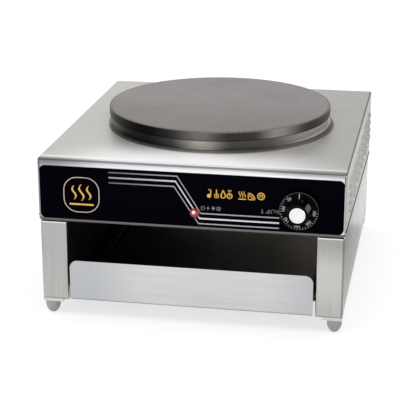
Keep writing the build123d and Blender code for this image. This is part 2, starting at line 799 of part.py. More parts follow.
# ------------------------------------------------------------------ griddle plate and heating stack
with BuildPart() as griddle_plate:
    with BuildSketch(Plane.XY.offset(plate_under)):
        with Locations((0, plate_y)):
            Circle(plate_diameter / 2)
    extrude(amount=plate_thickness)
    fillet(griddle_plate.edges().group_by(Axis.Z)[-1], plate_top_edge)
    chamfer(griddle_plate.edges().group_by(Axis.Z)[0], plate_lower_edge)
    for radius in element_radii:
        with BuildSketch(Plane.XY.offset(plate_under)):
            with Locations((0, plate_y)):
                Circle(radius + element_width / 2)
                Circle(radius - element_width / 2, mode=Mode.SUBTRACT)
        extrude(amount=element_groove_depth, mode=Mode.SUBTRACT)
    with BuildSketch(Plane.XY.offset(plate_under)):
        with Locations(*stud_spots):
            Circle(stud_diameter / 2)
    extrude(amount=stud_grip, mode=Mode.SUBTRACT)
write_step(griddle_plate, "griddle_plate")

with BuildPart() as plate_collar:
    with BuildSketch(Plane.XY.offset(body_top)):
        with Locations((0, plate_y)):
            Circle(collar_diameter / 2)
            Circle(collar_diameter / 2 - collar_sheet, mode=Mode.SUBTRACT)
    extrude(amount=plate_lift)
    with BuildSketch(Plane.XY.offset(body_top)):
        with Locations((0, plate_y)):
            Circle(collar_diameter / 2 + collar_foot)
            Circle(collar_diameter / 2 - collar_sheet, mode=Mode.SUBTRACT)
    extrude(amount=collar_sheet)
write_step(plate_collar, "plate_collar")

pin_angles = (element_gap_angle / 2 + element_pin_angle, -element_gap_angle / 2 - element_pin_angle)
pin_spots = [
    (radius * cos(radians(angle)), plate_y + radius * sin(radians(angle)))
    for radius in element_radii
    for angle in pin_angles
]
ring_names = ["inner_heating_element", "outer_heating_element"]
for ring_name, radius in zip(ring_names, element_radii):
    with BuildPart() as heating_element:
        with BuildSketch(Plane.XZ.offset(-plate_y)):
            with Locations((radius, clamp_top + element_height / 2)):
                Rectangle(element_width, element_height)
        revolve(axis=Axis((0, plate_y, 0), (0, 0, 1)), revolution_arc=360 - element_gap_angle)
        for angle in (element_pin_angle, 360 - element_gap_angle - element_pin_angle):
            x, y = radius * cos(radians(angle)), plate_y + radius * sin(radians(angle))
            with Locations((x, y, clamp_top - element_pin_length / 2)):
                Cylinder(element_pin_diameter / 2, element_pin_length)
    # the gap between the ring's ends faces the thermostat, on the right
    turned_ring = heating_element.part.rotate(Axis((0, plate_y, 0), (0, 0, 1)), element_gap_angle / 2)
    with BuildPart() as turned_element:
        add(turned_ring)
    write_step(turned_element, ring_name)


def round_sheet(level, diameter, thickness, centre_diameter):
    """A disc with clearance holes for the studs and the element pins."""
    with BuildPart() as disc:
        with BuildSketch(Plane.XY.offset(level)):
            with Locations((0, plate_y)):
                Circle(diameter / 2)
                Circle(centre_diameter / 2, mode=Mode.SUBTRACT)
            with Locations(*stud_spots):
                Circle(stud_diameter / 2 + screw_gap, mode=Mode.SUBTRACT)
            with Locations(*pin_spots):
                Circle(element_pin_diameter / 2 + screw_gap, mode=Mode.SUBTRACT)
        extrude(amount=thickness)
    return disc


clamp_plate = round_sheet(wool_top, clamp_diameter, clamp_sheet, clamp_centre_diameter)
write_step(clamp_plate, "clamp_plate")
insulation_disc = round_sheet(pan_floor_top, clamp_diameter, wool_thickness, wool_centre_diameter)
write_step(insulation_disc, "insulation_disc")

capillary_x = bulb_length / 2 + capillary_bend + capillary_diameter
with BuildPart() as insulation_pan:
    with BuildSketch(Plane.XY.offset(bar_top)):
        with Locations((0, plate_y)):
            Circle(pan_diameter / 2)
    extrude(amount=plate_under - bar_top)
    with BuildSketch(Plane.XY.offset(pan_floor_top)):
        with Locations((0, plate_y)):
            Circle(pan_diameter / 2 - pan_sheet)
    extrude(amount=plate_under - pan_floor_top, mode=Mode.SUBTRACT)
    with BuildSketch(Plane.XY.offset(bar_top)):
        with Locations(*stud_spots):
            Circle(stud_diameter / 2 + screw_gap)
        with Locations(*pin_spots):
            Circle(element_pin_diameter / 2 + screw_gap)
        with Locations((capillary_x, plate_y)):
            Circle(capillary_diameter)
    extrude(amount=pan_sheet, mode=Mode.SUBTRACT)
write_step(insulation_pan, "insulation_pan")

nut_z = bar_top - bar_sheet - nut_height
with BuildPart() as plate_studs:
    with BuildSketch(Plane.XY.offset(nut_z - stud_diameter / 4)):
        with Locations(*stud_spots):
            Circle(stud_diameter / 2)
    extrude(amount=plate_under + stud_grip - nut_z + stud_diameter / 4)
write_step(plate_studs, "plate_studs")

with BuildPart() as plate_nuts:
    with BuildSketch(Plane.XY.offset(nut_z)):
        with Locations(*stud_spots):
            RegularPolygon(nut_flats / 2, 6, major_radius=False)
            Circle(stud_diameter / 2, mode=Mode.SUBTRACT)
    extrude(amount=nut_height)
write_step(plate_nuts, "plate_nuts")


def support_bar(y):
    """A channel across the housing that carries the plate, with end tabs on the side panels."""
    with BuildPart() as bar:
        with BuildSketch(Plane.YZ.offset(-panel_inner_x)):
            with BuildLine():
                FilletPolyline(
                    (y - bar_width / 2 + bar_sheet / 2, bar_top - bar_height),
                    (y - bar_width / 2 + bar_sheet / 2, bar_top - bar_sheet / 2),
                    (y + bar_width / 2 - bar_sheet / 2, bar_top - bar_sheet / 2),
                    (y + bar_width / 2 - bar_sheet / 2, bar_top - bar_height),
                    radius=bar_sheet,
                )
            trace(line_width=bar_sheet)
        extrude(amount=2 * panel_inner_x)
        for side in (-1, 1):
            add_block(
                sorted((side * (panel_inner_x - bar_sheet), side * panel_inner_x)),
                (y - bar_width / 2, y + bar_width / 2),
                (bar_top - bar_tab, bar_top - bar_sheet),
            )
        with BuildSketch(Plane.XY.offset(bar_top - bar_sheet)):
            with Locations(*[spot for spot in stud_spots if abs(spot[1] - y) < bar_width / 2]):
                Circle(stud_diameter / 2 + screw_gap)
        extrude(amount=bar_sheet, mode=Mode.SUBTRACT)
        with BuildSketch(Plane.YZ.offset(-panel_inner_x)):
            with Locations((y, bar_top - bar_bolt_drop)):
                Circle(bar_bolt_diameter / 2)
        extrude(amount=2 * panel_inner_x, mode=Mode.SUBTRACT)
    return bar


front_support_bar = support_bar(plate_y - stud_spacing / 2)
write_step(front_support_bar, "front_support_bar")
rear_support_bar = support_bar(plate_y + stud_spacing / 2)
write_step(rear_support_bar, "rear_support_bar")

with BuildPart() as bar_bolts:
    for side in (-1, 1):
        with BuildSketch(Plane.YZ.offset(side * (panel_inner_x - bar_sheet))):
            with Locations(*bar_bolt_spots):
                RegularPolygon(bar_bolt_flats / 2, 6, major_radius=False)
        extrude(amount=-side * bar_bolt_head)
        with BuildSketch(Plane.YZ.offset(side * (panel_inner_x - bar_sheet))):
            with Locations(*bar_bolt_spots):
                Circle(bar_bolt_diameter / 2)
        extrude(amount=side * (bar_sheet + panel_sheet))
write_step(bar_bolts, "bar_bolts")

bulb_z = plate_under - bulb_diameter / 2
with BuildPart() as sensing_bulb:
    with BuildSketch(Plane.YZ.offset(-bulb_length / 2)):
        with Locations((plate_y, bulb_z)):
            Circle(bulb_diameter / 2)
    extrude(amount=bulb_length)
write_step(sensing_bulb, "sensing_bulb")

clip_z = bulb_z - bulb_diameter / 2 - bulb_clip_sheet / 2
clip_foot_z = wool_top - bulb_clip_sheet / 2
clip_rise = clip_foot_z - clip_z
clip_shoulder = clamp_centre_diameter / 2 - bulb_clip_gap
with BuildPart() as bulb_clip:
    with BuildSketch(Plane.YZ.offset(-bulb_clip_width / 2)):
        with BuildLine():
            Polyline(
                (plate_y - clip_shoulder - bulb_clip_foot, clip_foot_z),
                (plate_y - clip_shoulder, clip_foot_z),
                (plate_y - clip_shoulder + clip_rise, clip_z),
                (plate_y + clip_shoulder - clip_rise, clip_z),
                (plate_y + clip_shoulder, clip_foot_z),
                (plate_y + clip_shoulder + bulb_clip_foot, clip_foot_z),
            )
        trace(line_width=bulb_clip_sheet)
    extrude(amount=bulb_clip_width)
write_step(bulb_clip, "bulb_clip")


def tube(points, bend, diameter):
    """Sweep a round section along straight runs joined by bends."""
    with BuildLine() as route:
        FilletPolyline(*points, radius=bend)
    with BuildSketch(Plane(route.line @ 0, z_dir=route.line % 0)) as section:
        Circle(diameter / 2)
    sweep(sections=section.sketch, path=route.line)


capillary_end_y = thermostat_y + thermostat_depth / 2
with BuildPart() as capillary_tube:
    tube(
        [
            (bulb_length / 2, plate_y, bulb_z),
            (capillary_x, plate_y, bulb_z),
            (capillary_x, plate_y, capillary_level),
            (knob_x, capillary_end_y + thermostat_depth, capillary_level),
            (knob_x, capillary_end_y, capillary_level),
            (knob_x, capillary_end_y, knob_z + thermostat_height / 2),
        ],
        capillary_bend,
        capillary_diameter,
    )
write_step(capillary_tube, "capillary_tube")

# ------------------------------------------------------------------ feet
with BuildPart() as foot_brackets:
    for x, y in foot_spots:
        side_x = 1 if x > 0 else -1
        side_y = 1 if y > body_centre_y else -1
        outer_x = side_x * (half_width - bracket_inset)
        outer_y = body_centre_y + side_y * (body_depth / 2 - bracket_inset)
        add_block(
            sorted((outer_x, outer_x - side_x * bracket_plate)),
            sorted((outer_y, outer_y - side_y * bracket_plate)),
            (body_bottom - bracket_plate_thickness, body_bottom),
        )
    with BuildSketch(Plane.XY.offset(body_bottom - bracket_plate_thickness)):
        with Locations(*foot_spots):
            Circle(foot_stud_diameter / 2 + running_gap)
    extrude(amount=bracket_plate_thickness, mode=Mode.SUBTRACT)
write_step(foot_brackets, "foot_brackets")

with BuildPart() as foot_weld_nuts:
    with BuildSketch(Plane.XY.offset(body_bottom)):
        with Locations(*foot_spots):
            RegularPolygon(weld_nut_flats / 2, 6, major_radius=False)
            Circle(foot_stud_diameter / 2 + running_gap, mode=Mode.SUBTRACT)
    extrude(amount=weld_nut_height)
write_step(foot_weld_nuts, "foot_weld_nuts")

foot_top = body_bottom - bracket_plate_thickness
for foot_name, (x, y) in zip(foot_names, foot_spots):
    with BuildPart() as levelling_foot:
        with BuildSketch(Plane.XZ.offset(-y)):
            with BuildLine():
                TangentArc(
                    (x + foot_diameter / 2, foot_top - foot_shoulder),
                    (x + foot_tip_diameter / 2, 0),
                    tangent=(0, -1),
                )
                Polyline(
                    (x + foot_tip_diameter / 2, 0),
                    (x, 0),
                    (x, foot_top),
                    (x + foot_diameter / 2, foot_top),
                    (x + foot_diameter / 2, foot_top - foot_shoulder),
                )
            make_face()
        revolve(axis=Axis((x, y, 0), (0, 0, 1)))
    write_step(levelling_foot, f"foot_{foot_name}")
    with BuildPart() as foot_stud:
        with BuildSketch(Plane.XY.offset(foot_top)):
            with Locations((x, y)):
                Circle(foot_stud_diameter / 2)
        extrude(amount=bracket_plate_thickness + weld_nut_height + foot_travel + foot_stud_spare)
    write_step(foot_stud, f"foot_stud_{foot_name}")

# ------------------------------------------------------------------ mains entry and wiring
gland_z = body_bottom + gland_rise
gland_axis = Axis((gland_x, 0, gland_z), (0, 1, 0))
with BuildPart() as cable_gland:
    with BuildSketch(Plane.XZ.offset(-rear_panel_y)):
        with Locations((gland_x, gland_z)):
            RegularPolygon(gland_hex / 2, 6, major_radius=False)
    extrude(amount=-gland_hex_height)
    with BuildSketch(Plane.YZ.offset(gland_x)):
        with BuildLine():
            cap_y = rear_panel_y + gland_hex_height
            Polyline(
                (cap_y, gland_z),
                (cap_y, gland_z + gland_cap_diameter / 2),
                (cap_y + gland_cap_barrel, gland_z + gland_cap_diameter / 2),
                (cap_y + gland_cap_length, gland_z + gland_cord_diameter / 2 + gland_mouth_wall),
                (cap_y + gland_cap_length, gland_z),
                close=True,
            )
        make_face()
    revolve(axis=gland_axis)
    with BuildSketch(Plane.XZ.offset(-rear_panel_y)):
        with Locations((gland_x, gland_z)):
            Circle(gland_thread_diameter / 2)
    extrude(amount=gland_thread_length)
    with BuildSketch(Plane.XZ.offset(-(rear_panel_y - gland_thread_length))):
        with Locations((gland_x, gland_z)):
            Circle(gland_cord_diameter / 2)
    extrude(amount=-(gland_thread_length + gland_hex_height + gland_cap_length), mode=Mode.SUBTRACT)
write_step(cable_gland, "cable_gland")

with BuildPart() as gland_nut:
    with BuildSketch(Plane.XZ.offset(-(rear_panel_y - panel_sheet))):
        with Locations((gland_x, gland_z)):
            RegularPolygon(gland_hex / 2, 6, major_radius=False)
            Circle(gland_thread_diameter / 2, mode=Mode.SUBTRACT)
    extrude(amount=gland_nut_height)
write_step(gland_nut, "gland_nut")

terminal_front = liner_back_y + liner_sheet
terminal_z = body_bottom + terminal_rise
with BuildPart() as terminal_block:
    add_block(
        (terminal_x - terminal_width / 2, terminal_x + terminal_width / 2),
        (terminal_front, terminal_front + terminal_depth),
        (terminal_z, terminal_z + terminal_height),
    )
    with BuildSketch(Plane.XZ.offset(-(terminal_front + terminal_depth))):
        with Locations((terminal_x, terminal_z + terminal_height / 2)):
            with GridLocations(terminal_width / 3, 0, 3, 1):
                Rectangle(terminal_width / 3 - terminal_rib, terminal_height - 2 * terminal_lip)
    extrude(amount=terminal_depth / 2, mode=Mode.SUBTRACT)
write_step(terminal_block, "terminal_block")

with BuildPart() as floor_grommet:
    with BuildSketch(Plane.XY.offset(floor_z - grommet_lip)):
        with Locations((terminal_x, duct_y)):
            Circle(floor_hole_diameter / 2 + grommet_lip)
    extrude(amount=2 * grommet_lip + liner_sheet)
    with BuildSketch(Plane.XY.offset(floor_z)):
        with Locations((terminal_x, duct_y)):
            Circle(floor_hole_diameter / 2 + grommet_lip)
            Circle(floor_hole_diameter / 2, mode=Mode.SUBTRACT)
    extrude(amount=liner_sheet, mode=Mode.SUBTRACT)
    with BuildSketch(Plane.XY.offset(floor_z - grommet_lip)):
        with Locations((terminal_x, duct_y)):
            Circle(floor_hole_diameter / 2 - grommet_wall)
    extrude(amount=2 * grommet_lip + liner_sheet, mode=Mode.SUBTRACT)
write_step(floor_grommet, "floor_grommet")

earth_z = body_bottom + earth_rise
with BuildPart() as earth_stud:
    with BuildSketch(Plane.YZ.offset(panel_inner_x)):
        with Locations((duct_y, earth_z)):
            Circle(earth_stud_diameter / 2)
    extrude(amount=-earth_stud_length)
    with BuildSketch(Plane.YZ.offset(panel_inner_x)):
        with Locations((duct_y, earth_z)):
            RegularPolygon(earth_nut_flats / 2, 6, major_radius=False)
    extrude(amount=-earth_nut_height)
write_step(earth_stud, "earth_stud")

thermostat_back = thermostat_y + thermostat_depth
terminal_top = terminal_z + terminal_height
pole = terminal_width / 3
with BuildPart() as wiring:
    # supply to the thermostat
    tube(
        [
            (terminal_x - wire_diameter, duct_y, terminal_top),
            (terminal_x - wire_diameter, duct_y, wire_level),
            (terminal_x - wire_diameter, thermostat_back + pole, wire_level),
            (knob_x, thermostat_back + pole, knob_z),
            (knob_x, thermostat_back, knob_z),
        ],
        wire_bend / 2,
        wire_diameter,
    )
    # return from the outer ring
    tube(
        [
            (terminal_x + wire_diameter, duct_y, terminal_top),
            (terminal_x + wire_diameter, duct_y, wire_level),
            (pin_spots[2][0], pin_spots[2][1], wire_level),
            (pin_spots[2][0], pin_spots[2][1], clamp_top - element_pin_length),
        ],
        wire_bend,
        wire_diameter,
    )
    # thermostat to the outer ring
    tube(
        [
            (knob_x + pole, thermostat_back, knob_z - thermostat_height / 4),
            (knob_x + pole, pin_spots[3][1], knob_z - thermostat_height / 4),
            (pin_spots[3][0], pin_spots[3][1], knob_z - thermostat_height / 4),
            (pin_spots[3][0], pin_spots[3][1], clamp_top - element_pin_length),
        ],
        wire_bend,
        wire_diameter,
    )
    # thermostat to the lamp
    tube(
        [
            (knob_x - pole, thermostat_back, knob_z - thermostat_height / 4),
            (knob_x - pole, thermostat_back + pole / 2, knob_z - thermostat_height / 4),
            (lamp_x, thermostat_back + pole / 2, lamp_z),
            (lamp_x, fascia_y + lamp_body_length, lamp_z),
        ],
        wire_bend / 2,
        wire_diameter,
    )
write_step(wiring, "wiring")

# ------------------------------------------------------------------ fixing screws


def panel_screws(face_y, spots):
    """Domed screws driven forwards through a sheet whose outer face is at face_y."""
    with BuildPart() as screws:
        with BuildSketch(Plane.XZ.offset(-face_y)):
            with Locations(*spots):
                Circle(panel_screw_head / 2)
        extrude(amount=-panel_screw_head_height)
        fillet(screws.edges().group_by(Axis.Y)[-1], panel_screw_crown)
        with BuildSketch(Plane.XZ.offset(-face_y)):
            with Locations(*spots):
                Circle(panel_screw_diameter / 2)
        extrude(amount=panel_screw_length)
    return screws


rear_panel_screws = panel_screws(rear_panel_y, rear_screw_spots)
write_step(rear_panel_screws, "rear_panel_screws")
cover_screws = panel_screws(rear_y, cover_screw_spots)
write_step(cover_screws, "cover_screws")
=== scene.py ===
"""An electric crepe maker: its finishes, printed front, dial and screws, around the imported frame.

In metres, except where a section says millimetres.
"""

from math import cos, pi, radians, sin, tau

import bmesh
import bpy
from mathutils import Matrix, Vector


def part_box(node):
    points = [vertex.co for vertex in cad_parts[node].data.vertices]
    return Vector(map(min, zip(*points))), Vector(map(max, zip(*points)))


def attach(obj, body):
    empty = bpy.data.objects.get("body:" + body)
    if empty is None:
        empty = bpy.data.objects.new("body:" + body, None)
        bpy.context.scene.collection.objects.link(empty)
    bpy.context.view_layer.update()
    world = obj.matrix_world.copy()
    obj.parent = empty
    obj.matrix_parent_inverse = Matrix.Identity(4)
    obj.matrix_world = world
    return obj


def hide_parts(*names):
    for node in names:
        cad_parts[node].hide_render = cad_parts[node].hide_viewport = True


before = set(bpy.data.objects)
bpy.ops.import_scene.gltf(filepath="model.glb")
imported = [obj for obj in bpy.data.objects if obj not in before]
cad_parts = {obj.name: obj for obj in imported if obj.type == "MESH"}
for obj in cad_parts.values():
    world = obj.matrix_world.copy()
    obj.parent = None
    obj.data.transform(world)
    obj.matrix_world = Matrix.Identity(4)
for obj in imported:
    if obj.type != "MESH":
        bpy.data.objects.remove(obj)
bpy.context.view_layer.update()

MM = 0.001

# ---------------------------------------------------------------- places, worked out from the frame

panel_low, panel_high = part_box("fascia_panel")
cover_low, cover_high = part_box("top_cover")
plate_low, plate_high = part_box("griddle_plate")
skirt_low, skirt_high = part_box("knob_skirt")
collar_low, collar_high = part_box("plate_collar")
lens_low, lens_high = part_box("indicator_lens")
side_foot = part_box("right_side_panel")[0].z
tray_low, tray_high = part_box("tray_front")
plate_centre = (plate_low + plate_high) / 2
knob_centre = (skirt_low + skirt_high) / 2
plate_radius = (plate_high.x - plate_low.x) / 2
collar_radius = (collar_high.x - collar_low.x) / 2
lens_centre = (lens_low + lens_high) / 2
cover_side = 225 * MM      # from the middle to the face of a side flange, under its louvres
leg_top = 146.5 * MM
lit_patch_width, lit_patch_depth = 260 * MM, 130 * MM      # the cover's patch of painted light: half its width, its depth
highlight_place = lens_centre + Vector((-0.8 * MM, 0, 2.6 * MM))      # of the painted highlight on the lamp's lens

# ---------------------------------------------------------------- shader maths


class Value:
    """One output of a node. Arithmetic on it adds the Math nodes that work the result out."""

    def __init__(self, nodes, socket):
        self.nodes = nodes
        self.socket = socket

    def __add__(self, other):
        return self.nodes.math("ADD", self, other)

    def __radd__(self, other):
        return self.nodes.math("ADD", other, self)

    def __sub__(self, other):
        return self.nodes.math("SUBTRACT", self, other)

    def __rsub__(self, other):
        return self.nodes.math("SUBTRACT", other, self)

    def __mul__(self, other):
        return self.nodes.math("MULTIPLY", self, other)

    def __rmul__(self, other):
        return self.nodes.math("MULTIPLY", other, self)

    def __truediv__(self, other):
        return self.nodes.math("DIVIDE", self, other)

    def __pow__(self, other):
        return self.nodes.math("POWER", self, other)

    def __gt__(self, other):
        return self.nodes.math("GREATER_THAN", self, other)

    def __lt__(self, other):
        return self.nodes.math("LESS_THAN", self, other)

    def __abs__(self):
        return self.nodes.math("ABSOLUTE", self)


def distance(across, along):
    """How far off a place is, from its two offsets."""
    return (across * across + along * along) ** 0.5


class Nodes:
    """A node tree. One method adds any node; the others are short names for those used often."""

    def __init__(self, tree):
        self.tree = tree

    def give(self, node, values):
        sockets = {socket.identifier: socket for socket in node.inputs}
        for identifier, value in values.items():
            if isinstance(value, Value):
                self.tree.links.new(value.socket, sockets[identifier])
            else:
                sockets[identifier].default_value = value

    def node(self, kind, settings=None, values=None, output=None):
        """Adds a node with its settings and its sockets' values or links. Gives one output."""
        node = self.tree.nodes.new("ShaderNode" + kind)
        for name, setting in (settings or {}).items():
            setattr(node, name, setting)
        self.give(node, values or {})
        outputs = {socket.identifier: socket for socket in node.outputs}
        return Value(self, outputs[output] if output else node.outputs[0])

    def math(self, operation, first, second=0.0):
        values = {"Value": first, "Value_001": second}
        return self.node("Math", {"operation": operation}, values)

    def split(self, vector):
        return [self.node("SeparateXYZ", values={"Vector": vector}, output=axis) for axis in "XYZ"]

    def vector(self, x, y, z):
        return self.node("CombineXYZ", values={"X": x, "Y": y, "Z": z})

    def spot(self):
        """Where a point of the surface is, on the object's own axes."""
        return self.node("TexCoord", output="Object")

    def facing(self):
        """The way that a point of the surface faces, on the object's own axes."""
        return self.split(self.node("TexCoord", output="Normal"))

    def noise(self, vector, scale=1.0, detail=2.0, roughness=0.5):
        sizes = {"Vector": vector, "Scale": scale, "Detail": detail, "Roughness": roughness}
        return self.node("TexNoise", values=sizes, output="Fac")

    def cells(self, vector, scale):
        return self.node("TexVoronoi", values={"Vector": vector, "Scale": scale}, output="Distance")

    def spread(self, value, start, end, low=0.0, high=1.0):
        """Takes start to low and end to high, with a soft ease, and holds the ends."""
        ends = {"Value": value, "From Min": start, "From Max": end, "To Min": low, "To Max": high}
        return self.node("MapRange", {"interpolation_type": "SMOOTHSTEP"}, ends)

    def glint(self, value, place, reach):
        """A soft light of 1 at a place, gone at its reach to both sides."""
        return self.spread(abs(value - place), reach, 0.0)

    def dim(self, colour, factor):
        scaled = {"Vector": colour, "Scale": factor}
        return self.node("VectorMath", {"operation": "SCALE"}, scaled, "Vector")

    def mix(self, share, first, second):
        """From the first colour at a share of 0 to the second at 1."""
        colours = {"Factor_Float": share, "A_Color": first, "B_Color": second}
        return self.node("Mix", {"data_type": "RGBA"}, colours, "Result_Color")

    def bump(self, height, strength, depth):
        return self.node("Bump", values={"Strength": strength, "Distance": depth, "Height": height})


class Finish(Nodes):
    """One finish: a material with one surface shader."""

    def __init__(self, name, surface):
        self.material = bpy.data.materials.new(name)
        self.material.use_nodes = True
        super().__init__(self.material.node_tree)
        self.surface(surface)

    def surface(self, values):
        self.give(self.tree.nodes["Principled BSDF"], values)


def paint(red, green, blue, light=1.0):
    """A colour as it is seen, in steps of 255, as the linear values that a shader takes."""
    steps = [step / 255 for step in (red, green, blue)]
    linear = [s / 12.92 if s <= 0.04045 else ((s + 0.055) / 1.055) ** 2.4 for s in steps]
    return (*[light * s for s in linear], 1.0)


def grey(level, blue=0.0):
    return (level, level, level + blue, 1)


# ---------------------------------------------------------------- metal finishes


def brushed(finish, run, across, along):
    """Stretches a pattern along the brushing, which runs along x, along z, or over the bends.

    across is how many lines there are a metre, and along is how often they end.
    """
    x, y, z = finish.split(finish.spot())
    if run == "wrapped":
        side = abs(finish.facing()[0]) > 0.7
        turned = side * (across - along)
        return finish.vector(x * (along + turned), y * across, z * (across - turned))
    scales = {"x": (along, across, across), "z": (across, across, along)}[run]
    return finish.vector(x * scales[0], y * scales[1], z * scales[2])


def brushed_sheet(name, run, tone, polish, cloud=0.5, grain=1.0):
    """Stainless sheet: fine brushing, longer scratches, and the soft clouds that wiping leaves.

    Gives the finish, its colour and its dulness, for what is laid over them.
    """
    finish = Finish(name, {"Metallic": 1.0})
    fine = finish.noise(brushed(finish, run, 1100, 9), detail=2, roughness=0.7)
    streaks = finish.noise(brushed(finish, run, 260, 2.5), detail=3, roughness=0.6)
    wipes_and_sheen = finish.noise(finish.spot(), scale=7, detail=2)
    lines = 0.55 * fine + 0.45 * streaks
    share = finish.spread(lines, 0.5 - 0.3 / grain, 0.5 + 0.3 / grain)
    sheet = finish.mix(share, paint(*tone, light=0.84), paint(*tone, light=1.12))
    hazy = paint(tone[0] - 12, tone[1] - 8, tone[2] - 3)
    colour = finish.mix(finish.spread(wipes_and_sheen, 0.5, 0.8, 0, cloud), sheet, hazy)
    dulness = polish + 0.16 * (lines - 0.5) + 0.14 * (wipes_and_sheen - 0.5)
    finish.surface({
        "Base Color": colour,
        "Roughness": dulness,
        "Normal": finish.bump(lines, 0.35, 0.04 * MM),
    })
    return finish, colour, dulness


def cover_steel():
    """The cover: painted light at its front middle, painted shade on its bends and round the
    collar.
    """
    finish, sheet, dulness = brushed_sheet("brushed_cover", "wrapped", (210, 209, 204), 0.42)
    x, y, z = finish.split(finish.spot())
    _, faces_y, faces_z = finish.facing()
    top = finish.spread(faces_z, 0.85, 0.97)
    front = finish.spread(faces_y, -0.3, -0.8)
    from_front = y - cover_low.y
    below_top = cover_high.z - z
    # painted light, whiter and less metallic, at the front middle of the top
    front_light_patch = top * finish.spread(distance(x / lit_patch_width, from_front / lit_patch_depth), 1.0, 0.2)
    pale = finish.mix(front_light_patch, sheet, paint(255, 255, 255))

    # a painted shadow round the collar's foot, widest in front and a little to the right
    out_x, out_y = x - plate_centre.x, y - plate_centre.y
    out = distance(out_x, out_y)
    width = 1 * MM + 19 * MM * finish.math("MAXIMUM", (0.3 * out_x - 0.95 * out_y) / out, 0.0)
    darker_brown = top * finish.spread(out, collar_radius + 1.15 * width, collar_radius + 0.65 * width)
    collar_shadowed = finish.mix(0.85 * darker_brown, pale, paint(70, 64, 56))

    # the front of the top: a painted highlight near its edge, and painted shade where the bend
    # starts, less in the middle
    bend_shade = paint(110, 109, 110)
    edge = top * finish.spread(from_front, 22 * MM, 15 * MM)
    edge_highlighted = finish.mix(0.8 * edge, collar_shadowed, paint(255, 255, 253))
    roll = top * finish.spread(from_front, 14 * MM, 5 * MM)
    spared = finish.spread(abs(x + 20 * MM), 200 * MM, 80 * MM)
    rolled = finish.mix((0.7 - 0.45 * spared) * roll, edge_highlighted, bend_shade)

    # the front flange: a painted reflection, light above the panel, with painted shade to the left,
    # in the bend and at its lower edge
    left = finish.spread(x, -120 * MM, -210 * MM)
    flange = finish.mix(0.7 * left, paint(222, 224, 227), paint(128, 127, 131))
    fronted = finish.mix(front, rolled, flange)
    bend = front * finish.spread(below_top, 10 * MM, 4 * MM)
    bent = finish.mix((0.6 - 0.4 * spared) * bend, fronted, bend_shade)
    lip = front * finish.spread(z, panel_low.z + 0.6 * MM, panel_low.z)
    lipped = finish.mix(lip, bent, paint(106, 103, 102))

    # the side flanges: a dark line along the fold, and painted shade growing towards the rear
    side = finish.spread(abs(x), cover_side - 3 * MM, cover_side - 0.5 * MM)
    fold = side * finish.spread(faces_z, 0.1, 0.4) * (below_top < 3 * MM)
    folded = finish.mix(0.75 * fold, lipped, paint(84, 82, 78))
    rear_shade = side * finish.spread(y, -200 * MM, 200 * MM, 0.05, 0.26)
    finish.surface({
        "Base Color": finish.dim(folded, 1.0 - rear_shade),
        "Metallic": 1.0 - top * (0.25 + 0.6 * front_light_patch),
        "Roughness": dulness - 0.14 * front,
    })
    return finish.material


def side_steel():
    """The sides and their legs: painted light on the right leg's middle, painted shade near its
    top.

    In front, each leg has a painted highlight at its top and painted shade at its foot.
    """
    finish, sheet, _ = brushed_sheet(
        "brushed_side", "z", (188, 187, 183), 0.23, cloud=0.8, grain=1.2)
    x, _, z = finish.split(finish.spot())
    faces_x, faces_y, _ = finish.facing()
    # painted light on the right leg's middle, painted shade near its top
    right = finish.spread(x, 150 * MM, 170 * MM)
    wipes_and_sheen = right * finish.spread(abs(z - 80 * MM), 60 * MM, 5 * MM)
    sheen_lit = finish.mix(0.6 * wipes_and_sheen, sheet, paint(212, 210, 206))
    top_shade = right * finish.spread(z, 100 * MM, 145 * MM)
    legs = finish.mix(0.6 * top_shade, sheen_lit, paint(150, 148, 143))
    front = finish.spread(faces_y, -0.3, -0.7)
    # a painted highlight along the top of each leg's front
    crest_highlight = front * finish.spread(z, leg_top - 2.2 * MM, leg_top - 1.2 * MM)
    crest_highlighted = finish.mix(0.7 * crest_highlight, legs, paint(255, 255, 252))
    # painted shade along the foot of each leg's front
    hem_shade = front * finish.spread(z, side_foot + 1.6 * MM, side_foot + 0.8 * MM)
    hem_shaded = finish.mix(0.7 * hem_shade, crest_highlighted, paint(96, 94, 90))
    # painted shade on faces turned to the right
    right_face_shade = finish.spread(faces_x, 0.5, 0.9)
    finish.surface({"Base Color": finish.dim(hem_shaded, 1.0 - 0.17 * right_face_shade)})
    return finish.material


def tray_steel():
    """The tray: painted shade, a little blue, to both ends, and at its lower edge and beside the
    rails.
    """
    finish, sheet, _ = brushed_sheet(
        "brushed_tray", "x", (212, 212, 212), 0.34, cloud=0.8, grain=0.8)
    x, y, z = finish.split(finish.spot())
    # painted shade, a little blue, towards both ends
    ends = finish.spread(abs(x - 20 * MM), 80 * MM, 180 * MM)
    end_shaded = finish.mix(0.9 * ends, sheet, paint(187, 190, 194))
    # painted shade along the tray front's lower edge
    hem_shade = finish.spread(z, tray_low.z + 1.8 * MM, tray_low.z + 1 * MM)
    hem_shaded = finish.mix(0.6 * hem_shade, end_shaded, paint(110, 108, 105))
    # painted shade on the pan's sides in the gaps beside the rails
    behind = finish.spread(y - tray_high.y, 4 * MM, 12 * MM)
    gap_shade = behind * finish.spread(abs(x), 163 * MM, 172 * MM)
    finish.surface({"Base Color": finish.mix(0.92 * gap_shade, hem_shaded, paint(36, 32, 28))})
    return finish.material


def plated_steel(name, tone, polish):
    """Zinc-plated sheet and bar: a faint spangle and a few dull patches."""
    finish = Finish(name, {"Metallic": 1.0})
    spangle = finish.cells(finish.spot(), 260)
    dull = finish.noise(finish.spot(), scale=38, detail=4, roughness=0.6)
    finish.surface({
        "Base Color": finish.mix(spangle, paint(*tone), paint(*tone, light=0.72)),
        "Roughness": polish + 0.25 * (dull - 0.4),
        "Normal": finish.bump(dull, 0.2, 0.05 * MM),
    })
    return finish.material


